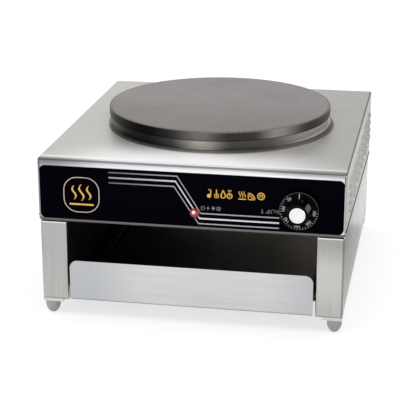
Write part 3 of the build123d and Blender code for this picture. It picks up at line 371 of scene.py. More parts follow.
def dark_liner():
    """The walls of the warming compartment: dark, streaked, brown in patches, with painted light
    and shade.
    """
    finish = Finish("dark_compartment_sheet", {"Metallic": 0.5, "Specular IOR Level": 0.3})
    runs = finish.noise(brushed(finish, "z", 60, 3), detail=4, roughness=0.65)
    fine = finish.noise(brushed(finish, "z", 700, 8), detail=2)
    baked = finish.noise(finish.spot(), scale=9, detail=4, roughness=0.6)
    streaked = finish.mix(finish.spread(runs, 0.4, 0.72), paint(52, 46, 41), paint(92, 85, 78))
    darker_brown = finish.mix(finish.spread(baked, 0.45, 0.75), streaked, paint(64, 50, 38))
    x = finish.split(finish.spot())[0]
    # painted light to the right, and painted shade to the left
    right = finish.spread(x, -100 * MM, -20 * MM, 0, 0.22)
    far_right = finish.spread(x, 60 * MM, 160 * MM, 0, 0.65)
    lit_to_right = finish.mix(right + far_right, darker_brown, paint(212, 204, 194))
    left = finish.spread(x, -50 * MM, -170 * MM, 0, 0.85)
    finish.surface({
        "Base Color": finish.mix(left, lit_to_right, paint(16, 13, 12)),
        "Roughness": 0.46 + 0.3 * (runs - 0.5) + 0.1 * (fine - 0.5),
        "Normal": finish.bump(fine + runs, 0.25, 0.06 * MM),
    })
    return finish.material


def cast_plate():
    """The griddle: iron turned flat, with fine rings and seasoned patches.

    Its rim has painted shade to the left, and painted highlights in two places.
    """
    finish = Finish("seasoned_cast_iron", {"Specular IOR Level": 0.08})
    x, y, _ = finish.split(finish.spot())
    out_x, out_y = x - plate_centre.x, y - plate_centre.y
    radius = distance(out_x, out_y)
    rings = finish.noise(finish.vector(radius * 1400, 0.0, 0.0), detail=2, roughness=0.7)
    seasoned = finish.noise(finish.spot(), scale=11, detail=5, roughness=0.62)
    grit = finish.noise(finish.spot(), scale=620, detail=3, roughness=0.7)
    turned = finish.mix(finish.spread(grit, 0.3, 0.7), paint(137, 133, 132), paint(157, 153, 152))
    cooked = finish.mix(finish.spread(seasoned, 0.4, 0.75, 0, 0.5), turned, paint(134, 129, 127))
    front = finish.spread(out_y, 50 * MM, -170 * MM, 0, 0.6)
    fronted = finish.mix(front, cooked, paint(126, 118, 113))
    worn = finish.spread(radius, plate_radius - 6 * MM, plate_radius - 2.4 * MM)
    top = finish.mix(0.35 * worn, fronted, paint(96, 92, 90))

    rim = finish.mix(finish.spread(seasoned, 0.35, 0.65), paint(74, 72, 71), paint(88, 85, 85))
    # painted shade and painted highlights along the rim
    shade = finish.spread(out_x, -90 * MM, -20 * MM, 0.02, 0.5)
    far_left = finish.spread(out_x, -145 * MM, -170 * MM, 0, 0.4)
    middle = 1.4 * finish.glint(out_x, 0.0, 45 * MM)
    right = 3.0 * finish.glint(out_x, 115 * MM, 40 * MM)
    rim_sheen_painted = finish.dim(rim, shade + far_left + (middle + right))
    upward = finish.spread(finish.facing()[2], 0.35, 0.9)
    finish.surface({
        "Base Color": finish.mix(upward, rim_sheen_painted, top),
        "Metallic": 0.6 - 0.35 * upward,
        "Roughness": 0.34 + 0.16 * upward + 0.16 * (seasoned - 0.5) + 0.1 * (rings - 0.5),
        "Normal": finish.bump(rings + 0.8 * grit, 0.3, 0.04 * MM),
    })
    return finish.material


def heated_collar():
    """The collar under the griddle: rolled steel, browner towards the heat, with painted sheen and
    shade.
    """
    finish = Finish("heat_tinted_steel", {"Metallic": 1.0})
    x, y, z = finish.split(finish.spot())
    rolled = finish.noise(finish.vector(x * 14, y * 14, z * 1300), detail=2, roughness=0.6)
    patches = finish.noise(finish.spot(), scale=16, detail=4, roughness=0.6)
    hot = finish.spread(z, collar_low.z, collar_high.z)
    cool = finish.mix(rolled, paint(126, 123, 120), paint(152, 149, 146))
    tinted = finish.mix(rolled, paint(94, 89, 84), paint(120, 115, 109))
    steel = finish.mix(0.55 * hot + 0.5 * (patches - 0.3), cool, tinted)
    # painted shade to the left, painted highlights in the middle and to the right
    shade = finish.spread(x, -90 * MM, -20 * MM, 0.1, 0.5)
    far_left = finish.spread(x, -125 * MM, -150 * MM, 0, 0.45)
    middle = 2.0 * finish.glint(x, 0.0, 47 * MM)
    right = finish.spread(x, 100 * MM, 165 * MM, 0, 2.6)
    collar_sheen_painted = finish.dim(steel, shade + far_left + (middle + right))
    # a painted shadow at the collar's foot
    foot = finish.spread(z, collar_low.z + 0.8 * MM, collar_low.z + 0.2 * MM)
    finish.surface({
        "Base Color": finish.mix(0.8 * foot, collar_sheen_painted, paint(44, 39, 34)),
        "Roughness": 0.36 + 0.2 * (patches - 0.5) + 0.08 * (rolled - 0.5),
        "Normal": finish.bump(rolled, 0.25, 0.04 * MM),
    })
    return finish.material


def turned_metal(name, tone, polish, rust=0.0, rust_tone=(96, 66, 42)):
    """Turned and rolled small parts: tight lines, and rust where stated."""
    finish = Finish(name, {"Metallic": 1.0})
    lines = finish.noise(finish.spot(), scale=900, detail=2, roughness=0.7)
    stains = finish.noise(finish.spot(), scale=70, detail=4, roughness=0.65)
    spared = finish.mix(lines, paint(*tone, light=0.82), paint(*tone, light=1.1))
    rusty = finish.spread(stains, 0.45, 0.75, 0, rust)
    finish.surface({
        "Base Color": finish.mix(rusty, spared, paint(*rust_tone)),
        "Roughness": polish + 0.2 * (stains - 0.45),
        "Normal": finish.bump(lines, 0.2, 0.03 * MM),
    })
    return finish.material


def spun_cap():
    """The knob's cap: foil-faced aluminium with rings round its middle."""
    finish = Finish("spun_aluminium", {"Metallic": 1.0})
    x, _, z = finish.split(finish.spot())
    radius = distance(x - knob_centre.x, z - knob_centre.z)
    rings = finish.noise(finish.vector(radius * 2600, 0.0, 0.0), detail=2, roughness=0.7)
    smears = finish.noise(finish.spot(), scale=150, detail=2)
    finish.surface({
        "Base Color": finish.mix(rings, paint(206, 207, 207), paint(243, 243, 240)),
        "Roughness": 0.3 + 0.18 * (rings - 0.5) + 0.14 * (smears - 0.5),
        "Normal": finish.bump(rings, 0.3, 0.03 * MM),
    })
    return finish.material


# ---------------------------------------------------------------- other finishes


def gloss_panel():
    """The control panel: black sheet with a smooth gloss, a little dust and the faintest ripple."""
    finish = Finish("gloss_black_panel", {"Specular IOR Level": 0.012})
    ripple = finish.noise(finish.spot(), scale=60, detail=1)
    wipes_and_sheen = finish.noise(brushed(finish, "x", 240, 12), detail=3)
    finish.surface({
        "Base Color": finish.mix(wipes_and_sheen, paint(0, 0, 3), paint(2, 1, 9)),
        "Roughness": 0.14 + 0.1 * (wipes_and_sheen - 0.5),
        "Normal": finish.bump(ripple, 0.08, 0.1 * MM),
    })
    return finish.material


def moulding(name, tone, polish, texture=900, relief=0.05, specular=0.4, wear=10):
    """Moulded plastic or rubber: a spark-eroded texture, handled smooth in places."""
    finish = Finish(name, {"Specular IOR Level": specular})
    grain = finish.noise(finish.spot(), scale=texture, detail=2, roughness=0.6)
    handled = finish.noise(finish.spot(), scale=60, detail=3)
    lighter = [min(255, step + wear) for step in tone]
    finish.surface({
        "Base Color": finish.mix(finish.spread(handled, 0.4, 0.7), paint(*tone), paint(*lighter)),
        "Roughness": polish + 0.18 * (handled - 0.5) + 0.1 * (grain - 0.5),
        "Normal": finish.bump(grain, 0.4, relief * MM),
    })
    return finish.material


def handled_grip():
    """The knob's grip: black, with a painted highlight in grey on one side."""
    finish = Finish("knob_plastic_painted_highlight", {"Specular IOR Level": 0.06})
    grain = finish.noise(finish.spot(), scale=1500, detail=2, roughness=0.6)
    faces_x, faces_y, faces_z = finish.facing()
    # a painted highlight on the side that faces right and up
    flank_highlight = finish.spread(faces_x * 0.84 - faces_y * 0.18 + faces_z * 0.5, 0.94, 0.98)
    finish.surface({
        "Base Color": finish.mix(flank_highlight, paint(3, 3, 4), paint(96, 96, 98)),
        "Roughness": 0.28 + 0.1 * (grain - 0.5),
        "Normal": finish.bump(grain, 0.4, 0.02 * MM),
    })
    return finish.material


def lamp_lens():
    """The indicator's lens: red and pebbled under a clear coat, with a painted highlight that also
    emits.
    """
    finish = Finish("red_lens", {
        "Coat Weight": 1.0,
        "Coat Roughness": 0.08,
        "Emission Strength": 0.4,
    })
    pebbles = finish.cells(finish.spot(), 700)
    x, _, z = finish.split(finish.spot())
    away_x, away_z = x - highlight_place.x, z - highlight_place.z
    # a painted highlight, emitting too, up and left of the lens's middle
    painted_highlight = finish.spread(distance(away_x, away_z), 3.4 * MM, 0.8 * MM)
    red = finish.mix(finish.spread(pebbles, 0.1, 0.6), paint(164, 40, 40), paint(118, 20, 22))
    # painted shade low down
    low = finish.spread(away_z, -2 * MM, -8 * MM)
    deep = finish.mix(low, red, paint(84, 10, 14))
    finish.surface({
        "Base Color": finish.mix(painted_highlight, deep, paint(255, 214, 204)),
        "Emission Color": finish.mix(painted_highlight, paint(70, 6, 6), paint(255, 190, 176)),
        "Roughness": 0.22 + 0.2 * pebbles,
        "Normal": finish.bump(pebbles, 0.3, 0.15 * MM),
    })
    return finish.material


def woven_sleeve():
    """The wires' glass-fibre sleeve: a fine braid."""
    finish = Finish("braided_sleeve", {"Specular IOR Level": 0.2})
    x, y, z = finish.split(finish.spot())
    braid = finish.cells(finish.vector(x + y, y - x, z), 1500)
    finish.surface({
        "Base Color": finish.mix(braid, paint(226, 220, 206), paint(150, 142, 126)),
        "Roughness": 0.75 + 0.15 * braid,
        "Normal": finish.bump(braid, 0.6, 0.2 * MM),
    })
    return finish.material


def wool_felt():
    """Ceramic wool: matted fibres."""
    finish = Finish("ceramic_wool", {"Specular IOR Level": 0.1})
    fibres = finish.noise(finish.spot(), scale=420, detail=5, roughness=0.75)
    finish.surface({
        "Base Color": finish.mix(fibres, paint(202, 198, 188), paint(240, 238, 232)),
        "Roughness": 0.85 + 0.1 * (fibres - 0.5),
        "Normal": finish.bump(fibres, 0.9, 0.5 * MM),
    })
    return finish.material


def ink(name, tone, foil=0.0, worn=0.0):
    """Screen-printed ink or hot foil: not quite even, and worn at the left where stated."""
    finish = Finish(name, {"Metallic": foil, "Specular IOR Level": 0.3})
    cover = finish.noise(finish.spot(), scale=520, detail=3, roughness=0.65)
    even = finish.mix(finish.spread(cover, 0.3, 0.6), paint(*tone, light=0.7), paint(*tone))
    left = finish.spread(finish.split(finish.spot())[0], 20 * MM, -130 * MM, 0, worn)
    finish.surface({
        "Base Color": finish.mix(left, even, paint(*tone, light=0.2)),
        "Roughness": 0.42 + 0.2 * (cover - 0.5),
        "Normal": finish.bump(cover, 0.2, 0.02 * MM),
    })
    return finish.material


# ---------------------------------------------------------------- drawing flat prints, and solids

ink_height = 0.07 * MM
ink_hold = 0.03 * MM      # how far the ink's back lies inside what it is printed on
steps_round = 36      # of a full circle's stroke


def bar(mesh, across, up, width, height, turn=0.0):
    """A flat bar with its middle at (across, up), turned about it."""
    place = Matrix.Translation((across, up, 0)) @ Matrix.Rotation(turn, 4, "Z")
    bmesh.ops.create_grid(mesh, size=0.5, matrix=place @ Matrix.Diagonal((width, height, 1, 1)))


def disc(mesh, across, up, radius):
    place = Matrix.Translation((across, up, 0))
    bmesh.ops.create_circle(mesh, cap_ends=True, segments=28, radius=radius, matrix=place)


def arc(mesh, across, up, radius, line, start=0.0, sweep=tau):
    """A stroke along an arc: start and sweep are angles from the right-hand side, turning left."""
    reach = [radius - line / 2, radius + line / 2]
    ends = [mesh.verts.new((across + r * cos(start), up + r * sin(start), 0)) for r in reach]
    edge = mesh.edges.new(ends)
    steps = round(steps_round * sweep / tau)
    bmesh.ops.spin(mesh, geom=[*ends, edge], cent=(across, up, 0), axis=(0, 0, 1), angle=sweep,
                   steps=steps, use_merge=sweep == tau)


def ribbon(mesh, edges_of, steps):
    """A flat strip: edges_of(step) gives the two sides of its line at each step."""
    strip = bmesh.ops.create_grid(mesh, x_segments=1, y_segments=steps, size=0.5)["verts"]
    for vert in strip:
        step = round((vert.co.y + 0.5) * steps)
        vert.co.xy = edges_of(step)[vert.co.x > 0]


def heat_wave(mesh, across, up, height, line, steps=16):
    """One rising S of warm air, thin at both ends."""
    def sides(step):
        share = step / steps
        middle = across + 0.13 * height * sin(tau * share)
        half = line / 2 * (0.35 + 0.65 * sin(pi * share))
        rise = up + height * (share - 0.5)
        return (middle - half, rise), (middle + half, rise)

    ribbon(mesh, sides, steps)


def made(mesh, name):
    """The mesh data of a bmesh, which is freed."""
    data = bpy.data.meshes.new(name)
    mesh.to_mesh(data)
    mesh.free()
    return data


def shown(data):
    """An object in the scene for a mesh, a light or a camera, with its name."""
    item = bpy.data.objects.new(data.name, data)
    bpy.context.scene.collection.objects.link(item)
    return item


def finish_piece(mesh, name, finish, body):
    """Makes a bmesh a named piece that rides on a CAD body."""
    bmesh.ops.recalc_face_normals(mesh, faces=mesh.faces)
    piece = shown(made(mesh, name))
    piece.data.materials.append(finish)
    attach(piece, body)
    return piece


def extruded(mesh, way):
    """Grows all of a flat mesh's faces into a solid, along a vector."""
    grown = bmesh.ops.extrude_face_region(mesh, geom=mesh.faces[:])["geom"]
    moved = [item for item in grown if isinstance(item, bmesh.types.BMVert)]
    bmesh.ops.translate(mesh, vec=way, verts=moved)


def print_on_front(mesh, name, finish, body, place):
    """Thickens a flat drawing, made in millimetres, and stands it on the front at place."""
    bmesh.ops.scale(mesh, vec=(MM, MM, MM), verts=mesh.verts)
    extruded(mesh, (0, 0, ink_height + ink_hold))
    stood = Matrix.Translation(place + Vector((0, ink_hold, 0))) @ Matrix.Rotation(pi / 2, 4, "X")
    bmesh.ops.transform(mesh, matrix=stood, verts=mesh.verts)
    finish_piece(mesh, name, finish, body)


def spun(mesh, line, steps):
    """Turns points and edges all the way round the Z axis."""
    bmesh.ops.spin(mesh, geom=line, cent=(0, 0, 0), axis=(0, 0, 1), angle=tau, steps=steps,
                   use_merge=True)


# ---------------------------------------------------------------- the printed front, in millimetres

panel_corner = Vector((panel_low.x, panel_low.y, panel_high.z))      # top left, on its face

# the middle stripe's corners: across from the panel's left edge, down from its top edge, and how
# far the same corner of the next stripe moves across for each millimetre that it lies lower
stripe_corners = (
    (103.5, 13.4, 0.0), (202.0, 13.4, -0.28), (237.0, 67.3, -0.23), (352.0, 67.3, 0.0),
)
stripe_pitch = 7.8
stripe_inks = (("silver", 1.8), ("bright_silver", 2.4), ("silver", 1.8))      # and widths

emblem_place = (62.5, -42.0)
emblem_size, emblem_corner, emblem_line = 54.0, 21.0, 1.4
wave_pitch, wave_height, wave_line, wave_rise = 11.0, 25.0, 3.2, 3.5
hob_width, hob_line, hob_drop = 36.0, 2.6, 14.5      # the line below the waves
title_row, title_height, title_line = -28.7, 13.0, 1.5
tool_places = (251.4, 261.6, 271.2, 280.4)
crepe_places, crepe_size = (298.6, 312.2, 325.7), 11.0
label_size, label_line = 6.4, 0.75
lamp_label, dial_label = (241.8, -51.0), (327.6, -50.8)
label_step = 7.6


def stripes():
    """Three stripes: level, down past the lamp, and level again to the knob."""
    for number, (inked, width) in enumerate(stripe_inks):
        offset = (number - 1) * stripe_pitch

        def sides(step, offset=offset, width=width):
            across, down, drift = stripe_corners[step]
            edges = (offset - width / 2, offset + width / 2)
            return [(across + drift * edge, -down - edge) for edge in edges]

        mesh = bmesh.new()
        ribbon(mesh, sides, len(stripe_corners) - 1)
        print_on_front(mesh, f"stripe_{number + 1}", inks[inked], "housing", panel_corner)


def emblem():
    """A soft square frame round three waves of warm air above a line."""
    across, up = emblem_place
    mesh = bmesh.new()
    place = Matrix.Translation((across, up, 0))
    bmesh.ops.create_grid(mesh, size=emblem_size / 2, matrix=place)
    bmesh.ops.bevel(mesh, geom=mesh.verts[:], offset=emblem_corner, segments=12,
                    affect="VERTICES", profile=0.5, material=-1)
    bmesh.ops.inset_region(mesh, faces=mesh.faces[:], thickness=emblem_line, use_boundary=True,
                           use_even_offset=True)
    middle = Vector(emblem_place)
    inner = min(mesh.faces, key=lambda face: (face.calc_center_median().xy - middle).length)
    bmesh.ops.delete(mesh, geom=[inner], context="FACES_ONLY")
    print_on_front(mesh, "emblem_frame", inks["rose"], "housing", panel_corner)
    mesh = bmesh.new()
    for side in (-1, 0, 1):
        height = wave_height - 4 * abs(side)
        heat_wave(mesh, across + wave_pitch * side, up + wave_rise, height, wave_line)
    bar(mesh, across, up - hob_drop, hob_width, hob_line)
    print_on_front(mesh, "emblem_waves", inks["gold"], "housing", panel_corner)


def kitchen_tools(mesh):
    """A ladle, a slotted spatula, a drop of batter and a timer."""
    line = title_line
    low, high = title_row - title_height / 2, title_row + title_height / 2
    ladle, spatula, drop, timer = tool_places
    disc(mesh, ladle - 0.6, low + 3.0, 3.0)
    bar(mesh, ladle + 1.8, title_row + 1.4, line, title_height - 2.8)
    bar(mesh, ladle + 0.6, high - line / 2, 4.2, line)
    bar(mesh, spatula, low + 0.6, 6.6, 1.2)
    for side in (-1, 0, 1):
        bar(mesh, spatula + 2.6 * side, low + 3.2, 1.4, 6.4)
    bar(mesh, spatula, low + 6.0, 6.6, 1.2)
    bar(mesh, spatula, title_row + 3.2, line, title_height - 6.4)
    arc(mesh, drop, low + 3.9, 3.9 - line / 2, line, radians(150), radians(240))
    for side in (-1, 1):
        bar(mesh, drop + 1.55 * side, low + 8.9, line, 7.8, side * radians(23))
    arc(mesh, timer, low + 4.3, 4.3 - line / 2, line)
    bar(mesh, timer, high - 1.7, line, 3.4)
    bar(mesh, timer, high - line / 2, 5.0, line)
    bar(mesh, timer, low + 5.0, 1.2, 3.0)


def crepes(mesh):
    """A crepe served hot, one folded to a quarter and one rolled up."""
    line, size = title_line, crepe_size
    low = title_row - title_height / 2
    served, folded, rolled = crepe_places
    bar(mesh, served, low + line / 2, size, line)
    for side in (-1, 0, 1):
        heat_wave(mesh, served + 3.6 * side, title_row + 1.4, title_height - 3.4, 1.4)
    corner = folded - size / 2
    for radius, stroke in ((size - line / 2, line), (size - 2.6 * line, 1.2)):
        arc(mesh, corner, low, radius, stroke, 0, pi / 2)
    bar(mesh, corner + line / 2, low + size / 2, line, size)
    bar(mesh, folded, low + line / 2, size, line)
    arc(mesh, rolled, title_row, 5.6 - line / 2, line)
    arc(mesh, rolled, title_row, 2.0, 1.2, radians(-60), radians(300))


def title_pictures():
    """A row of small pictures in gold."""
    mesh = bmesh.new()
    kitchen_tools(mesh)
    crepes(mesh)
    print_on_front(mesh, "title_pictures", inks["gold"], "housing", panel_corner)


def lamp_signs(mesh):
    """Power, mains, plug and lamp."""
    half, line = label_size / 2, label_line
    across, up = lamp_label
    arc(mesh, across, up, half - line / 2, line, radians(125), radians(290))
    bar(mesh, across, up + half / 2, line, half)
    across += label_step
    bolt = ((0.12, 0.58), (-0.34, -0.08), (-0.04, -0.08), (-0.14, -0.58), (0.34, 0.1), (0.04, 0.1))
    points = [(across + label_size * x, up + label_size * y, 0) for x, y in bolt]
    mesh.faces.new([mesh.verts.new(point) for point in points])
    across += label_step
    bar(mesh, across, up, 4.6, 2.6)
    bar(mesh, across, up - half + 0.8, line, 1.6)
    for side in (-1, 1):
        bar(mesh, across + 1.3 * side, up + half - 0.9, line, 1.8)
    across += label_step
    arc(mesh, across, up, half - line / 2, line)
    for turn in (radians(45), radians(-45)):
        bar(mesh, across, up, label_size - line, line, turn)


def dial_signs(mesh):
    """Thermometer, low to high, turning and warm air."""
    half, line = label_size / 2, label_line
    across, up = dial_label
    arc(mesh, across, up - half + 1.4, 1.2, line)
    bar(mesh, across, up + 0.9, 1.4, label_size - 2.6)
    across += label_step
    for step in range(4):
        bar(mesh, across + 1.5 * (step - 1.5), up - half + 0.8 * (step + 1), 0.8, 1.6 * (step + 1))
    across += label_step
    arc(mesh, across, up, half - line / 2, line, radians(-30), radians(270))
    bar(mesh, across - 1.9, up - 2.3, line, 2.6, radians(80))
    across += label_step
    for side in (-1, 0, 1):
        heat_wave(mesh, across + 2.1 * side, up, label_size, 0.9, steps=10)


def small_labels():
    """The signs beside the lamp and beside the dial."""
    mesh = bmesh.new()
    lamp_signs(mesh)
    dial_signs(mesh)
    print_on_front(mesh, "label_signs", inks["dim_white"], "housing", panel_corner)


# ---------------------------------------------------------------- the dial, in millimetres

dial_face = Vector((knob_centre.x, skirt_low.y, knob_centre.z))
dial_start, dial_turn = 40, 225      # degrees to the left: from the rest line to 50, and on to 300
dial_heats = range(50, 301, 50)
tick_count, ticks_between = 26, 5      # from 50 to 300, and from one figure to the next
tick_inner, tick_outer, tick_width, long_tick = 24.9, 26.6, 0.5, 0.6
number_radius, number_height = 21.6, 4.0
font_size, font_growth = 1 / 0.7, 0.012      # of the figures' height
rest_inner, rest_outer, rest_width = 18.4, 26.0, 1.0
lip_radius, lip_thickness = 27.4, 0.9


def number_mesh(words, height):
    """Plain figures as a flat mesh, with their middle at the origin."""
    curve = bpy.data.curves.new("figures", "FONT")
    curve.body = words
    curve.align_x = curve.align_y = "CENTER"
    curve.size = font_size * height
    curve.offset = font_growth * height
    holder = bpy.data.objects.new("figures", curve)
    flat = bpy.data.meshes.new_from_object(holder)
    bpy.data.objects.remove(holder)
    return flat


def dial_print():
    """A rest line at the top, a tick for every ten degrees of heat and a figure for every fifty."""
    mesh = bmesh.new()
    bar(mesh, 0, (rest_inner + rest_outer) / 2, rest_width, rest_outer - rest_inner)
    for number in range(tick_count):
        turn = radians(dial_start + dial_turn * number / (tick_count - 1))
        inner = tick_inner - (0 if number % ticks_between else long_tick)
        middle = (inner + tick_outer) / 2
        bar(mesh, -middle * sin(turn), middle * cos(turn), tick_width, tick_outer - inner, turn)
    for number, heat in enumerate(dial_heats):
        flat = number_mesh(str(heat), number_height)
        turn = radians(dial_start + dial_turn * number / (len(dial_heats) - 1))
        turned = Matrix.Rotation(turn, 4, "Z")
        flat.transform(turned @ Matrix.Translation((0, number_radius, 0)))
        mesh.from_mesh(flat)
        bpy.data.meshes.remove(flat)
    bmesh.ops.remove_doubles(mesh, verts=mesh.verts, dist=0.001)
    print_on_front(mesh, "dial_print", inks["white"], "knob", dial_face)


def dial_lip():
    """The rolled lip round the dial's face, grey for a painted highlight."""
    mesh = bmesh.new()
    upright = Matrix.Rotation(pi / 2, 4, "X")
    bmesh.ops.create_circle(mesh, segments=10, radius=lip_thickness * MM / 2,
                            matrix=Matrix.Translation((lip_radius * MM, 0, 0)) @ upright)
    spun(mesh, mesh.verts[:] + mesh.edges[:], steps=96)
    facing = Matrix.Translation(dial_face) @ upright
    bmesh.ops.transform(mesh, matrix=facing, verts=mesh.verts)
    finish_piece(mesh, "dial_lip", finishes["lip_plastic"], "knob")


# ---------------------------------------------------------------- a dark bead for the shadow below the cover's sides

seam_radius = 1.1 * MM
seam_front, seam_rear = 86.8 * MM, 107.8 * MM      # below the top sheet
seam_start, seam_end = 2 * MM, 3 * MM      # from the cover's front and rear faces


def seam_bead(name, side):
    """A thin dark bead along the lower edge of a side flange, standing for the seam's shadow."""
    across = side * cover_side
    start = Vector((across, cover_low.y + seam_start, cover_high.z - seam_front))
    end = Vector((across, cover_high.y - seam_end, cover_high.z - seam_rear))
    mesh = bmesh.new()
    bmesh.ops.create_circle(mesh, cap_ends=True, segments=10, radius=seam_radius,
                            matrix=Matrix.Translation(start) @ Matrix.Rotation(pi / 2, 4, "X"))
    extruded(mesh, end - start)
    finish_piece(mesh, name, finishes["seam_shadow"], "housing")


# ---------------------------------------------------------------- screws at the back

screw_low, screw_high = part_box("cover_screws")
head_radius = (screw_high.z - screw_low.z) / 2
head_height = 2.4 * MM
head_flat, head_edge, head_round = 0.62, 0.38, 0.5      # of its radius, then twice of its height
shank = screw_high.y - screw_low.y - head_height
shank_radius = 1.95 * MM
plain_tip, plain_neck, plain_shank = 0.3 * MM, 0.4 * MM, 1.2 * MM
thread_pitch, thread_depth = 0.7 * MM, 0.32 * MM
driver_tip = (4.4 * MM, 0.95 * MM, 2.4 * MM)      # its lower half cuts the recess
turn_between = 0.7      # from one screw's recess to the next


def screw_mesh():
    """A pan-head screw along +Z with its seat at the origin and a cross recess."""
    root = shank_radius - thread_depth
    profile = [(0, -shank), (root, -shank)]
    for turn in range(int((shank - plain_shank) / thread_pitch)):
        foot = plain_tip - shank + turn * thread_pitch
        profile += [(root, foot), (shank_radius, foot + thread_pitch / 2)]
    profile += [(root, -plain_neck), (shank_radius, 0), (head_radius, 0)]
    for step in range(7):
        bend = radians(90 * step / 6)
        out = head_flat + (1 - head_flat) * cos(bend)
        profile.append((head_radius * out, head_height * (head_edge + head_round * sin(bend))))
    profile += [(head_radius * 0.3, head_height * 0.98), (0, head_height)]
    mesh = bmesh.new()
    points = [mesh.verts.new((radius, 0, height)) for radius, height in profile]
    lines = [mesh.edges.new(pair) for pair in zip(points, points[1:])]
    spun(mesh, points + lines, steps=24)
    bmesh.ops.remove_doubles(mesh, verts=mesh.verts, dist=1e-7)
    bmesh.ops.recalc_face_normals(mesh, faces=mesh.faces)
    return carved(made(mesh, "screw"), cross_cutter())


def cross_cutter():
    """The driver's tip: two crossed blades that narrow downwards."""
    mesh = bmesh.new()
    top = Matrix.Translation((0, 0, head_height))
    for turn in (0, pi / 2):
        blade = bmesh.ops.create_cube(mesh, size=1)["verts"]
        low = [vert for vert in blade if vert.co.z < 0]
        bmesh.ops.scale(mesh, vec=(0.5, 0.7, 1), verts=low)
        sized = Matrix.Rotation(turn, 4, "Z") @ Matrix.Diagonal((*driver_tip, 1))
        bmesh.ops.transform(mesh, matrix=top @ sized, verts=blade)
    return made(mesh, "driver_tip")


def carved(body, cutter):
    """The first mesh with the second cut out of it."""
    whole, tool = shown(body), shown(cutter)
    cut = whole.modifiers.new("recess", "BOOLEAN")
    cut.operation = "DIFFERENCE"
    cut.use_self = True
    cut.object = tool
    ready = whole.evaluated_get(bpy.context.evaluated_depsgraph_get())
    result = bpy.data.meshes.new_from_object(ready)
    bpy.data.objects.remove(whole)
    bpy.data.objects.remove(tool)
    return result


def back_screws(node, rows, columns):
    """Puts a screw at each row and column of a node's own box, heads to the back."""
    low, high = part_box(node)
    seat = high.y - head_height
    mesh = bmesh.new()
    for number, (row, column) in enumerate((row, column) for row in rows for column in columns):
        across = low.x + head_radius + column * (high.x - low.x - 2 * head_radius)
        up = low.z + head_radius + row * (high.z - low.z - 2 * head_radius)
        screw = screw_mesh()
        driven = Matrix.Rotation(turn_between * number, 4, "Z")
        backward = Matrix.Translation((across, seat, up)) @ Matrix.Rotation(-pi / 2, 4, "X")
        screw.transform(backward @ driven)
        mesh.from_mesh(screw)
        bpy.data.meshes.remove(screw)
    steel = finishes["turned_steel"]
    piece = finish_piece(mesh, node + "_cross_head", steel, "housing")
    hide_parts(node)


# ---------------------------------------------------------------- room, light and camera

floor_size = 12
floor_seen = 0.66      # the bare floor, as the camera sees it
floor_mirrored, floor_left_dim = 0.56, 0.26      # as steel mirrors it; how much less at the left
board_place, board_light, board_reach = Vector((-0.08, -1.05)), 0.8, 0.5      # white, in front
card_tone, card_fade = 0.05, 0.02      # a dark card at the right
card_side, card_end = 0.25, 0.245      # its left and its rear edge

sun_strength, sun_angle = 0.52 * pi, radians(80)
light_aim = (0, 0, 0.15)
camera_place = (0.3595, -2.0824, 0.8169)
camera_pitch, camera_turn = radians(18.615), radians(10.361)      # down, and to the left
camera_lens = 121.2      # millimetres, on a sensor 36 wide


def lay_floor():
    """A pale floor with a soft shadow. It shows the board and the card in reflections only."""
    mesh = bmesh.new()
    bmesh.ops.create_grid(mesh, size=floor_size)
    floor = shown(made(mesh, "floor"))
    finish = Finish("floor_paint", {
        "Roughness": 0.9, "Specular IOR Level": 0.0, "Emission Strength": 1.0,
    })
    seen, glossy, through = (
        finish.node("LightPath", output=f"Is {kind} Ray")
        for kind in ("Camera", "Glossy", "Transmission")
    )
    mirrored = glossy + through
    x, y, _ = finish.split(finish.spot())
    card = finish.spread(x, card_side - card_fade, card_side + card_fade)
    card = card * finish.spread(y, card_end + card_fade, card_end - card_fade)
    aside = (x - board_place.x) / board_reach
    ahead = (y - board_place.y) / board_reach
    board = finish.spread(distance(aside, ahead), 1.0, 0.1)
    left = finish.spread(x, -0.28, -0.5)
    bare = floor_mirrored + board_light * board - floor_left_dim * left
    grain = finish.noise(finish.spot(), scale=3)
    pale = finish.mix(grain, grey(0.8, -0.01), grey(0.82, -0.01))
    finish.surface({
        "Base Color": finish.mix(mirrored + seen, pale, grey(0.4)),
        "Emission Color": seen * floor_seen + mirrored * (bare * (1.0 - card) + card_tone * card),
    })
    floor.data.materials.append(finish.material)


def light_the_room():
    """White walls, dimmer at the back right, a grey ceiling, a broad sun and two soft boxes."""
    world = bpy.data.worlds.new("studio")
    bpy.context.scene.world = world
    world.use_nodes = True
    room = Nodes(world.node_tree)
    across, deep, height = room.split(room.node("TexCoord", output="Generated"))
    corner = room.spread(across, -0.26, 0.0) * room.spread(deep, 0.1, 0.5)
    walls = room.mix(corner, grey(1.18, -0.01), grey(0.47, -0.01))
    inside = room.mix(room.spread(height, 0.3, 0.6), walls, grey(0.4, 0.01))
    seen = room.node("LightPath", output="Is Camera Ray")
    background = world.node_tree.nodes["Background"]
    room.give(background, {"Color": room.mix(seen, inside, grey(1.0)), "Strength": 1.0})
    overhead = bpy.data.lights.new("overhead", "SUN")
    overhead.energy = sun_strength
    overhead.angle = sun_angle
    hang(overhead, (0, 0, 2), (0, 0, 0)).visible_glossy = False
    soft_box("right_box", place=(2.1, -0.9, 0.9), size=0.9, watts=7)
    soft_box("low_box", place=(-0.9, -1.5, 0.12), size=0.3, watts=7).visible_glossy = False


def hang(light, place, aim):
    """Puts a light at place, turned to aim and out of the camera's sight."""
    lamp = shown(light)
    lamp.location = place
    lamp.rotation_euler = (Vector(aim) - Vector(place)).to_track_quat("-Z", "Y").to_euler()
    lamp.visible_camera = False
    return lamp


def soft_box(name, place, size, watts):
    light = bpy.data.lights.new(name, "AREA")
    light.size = size
    light.energy = watts
    return hang(light, place, light_aim)


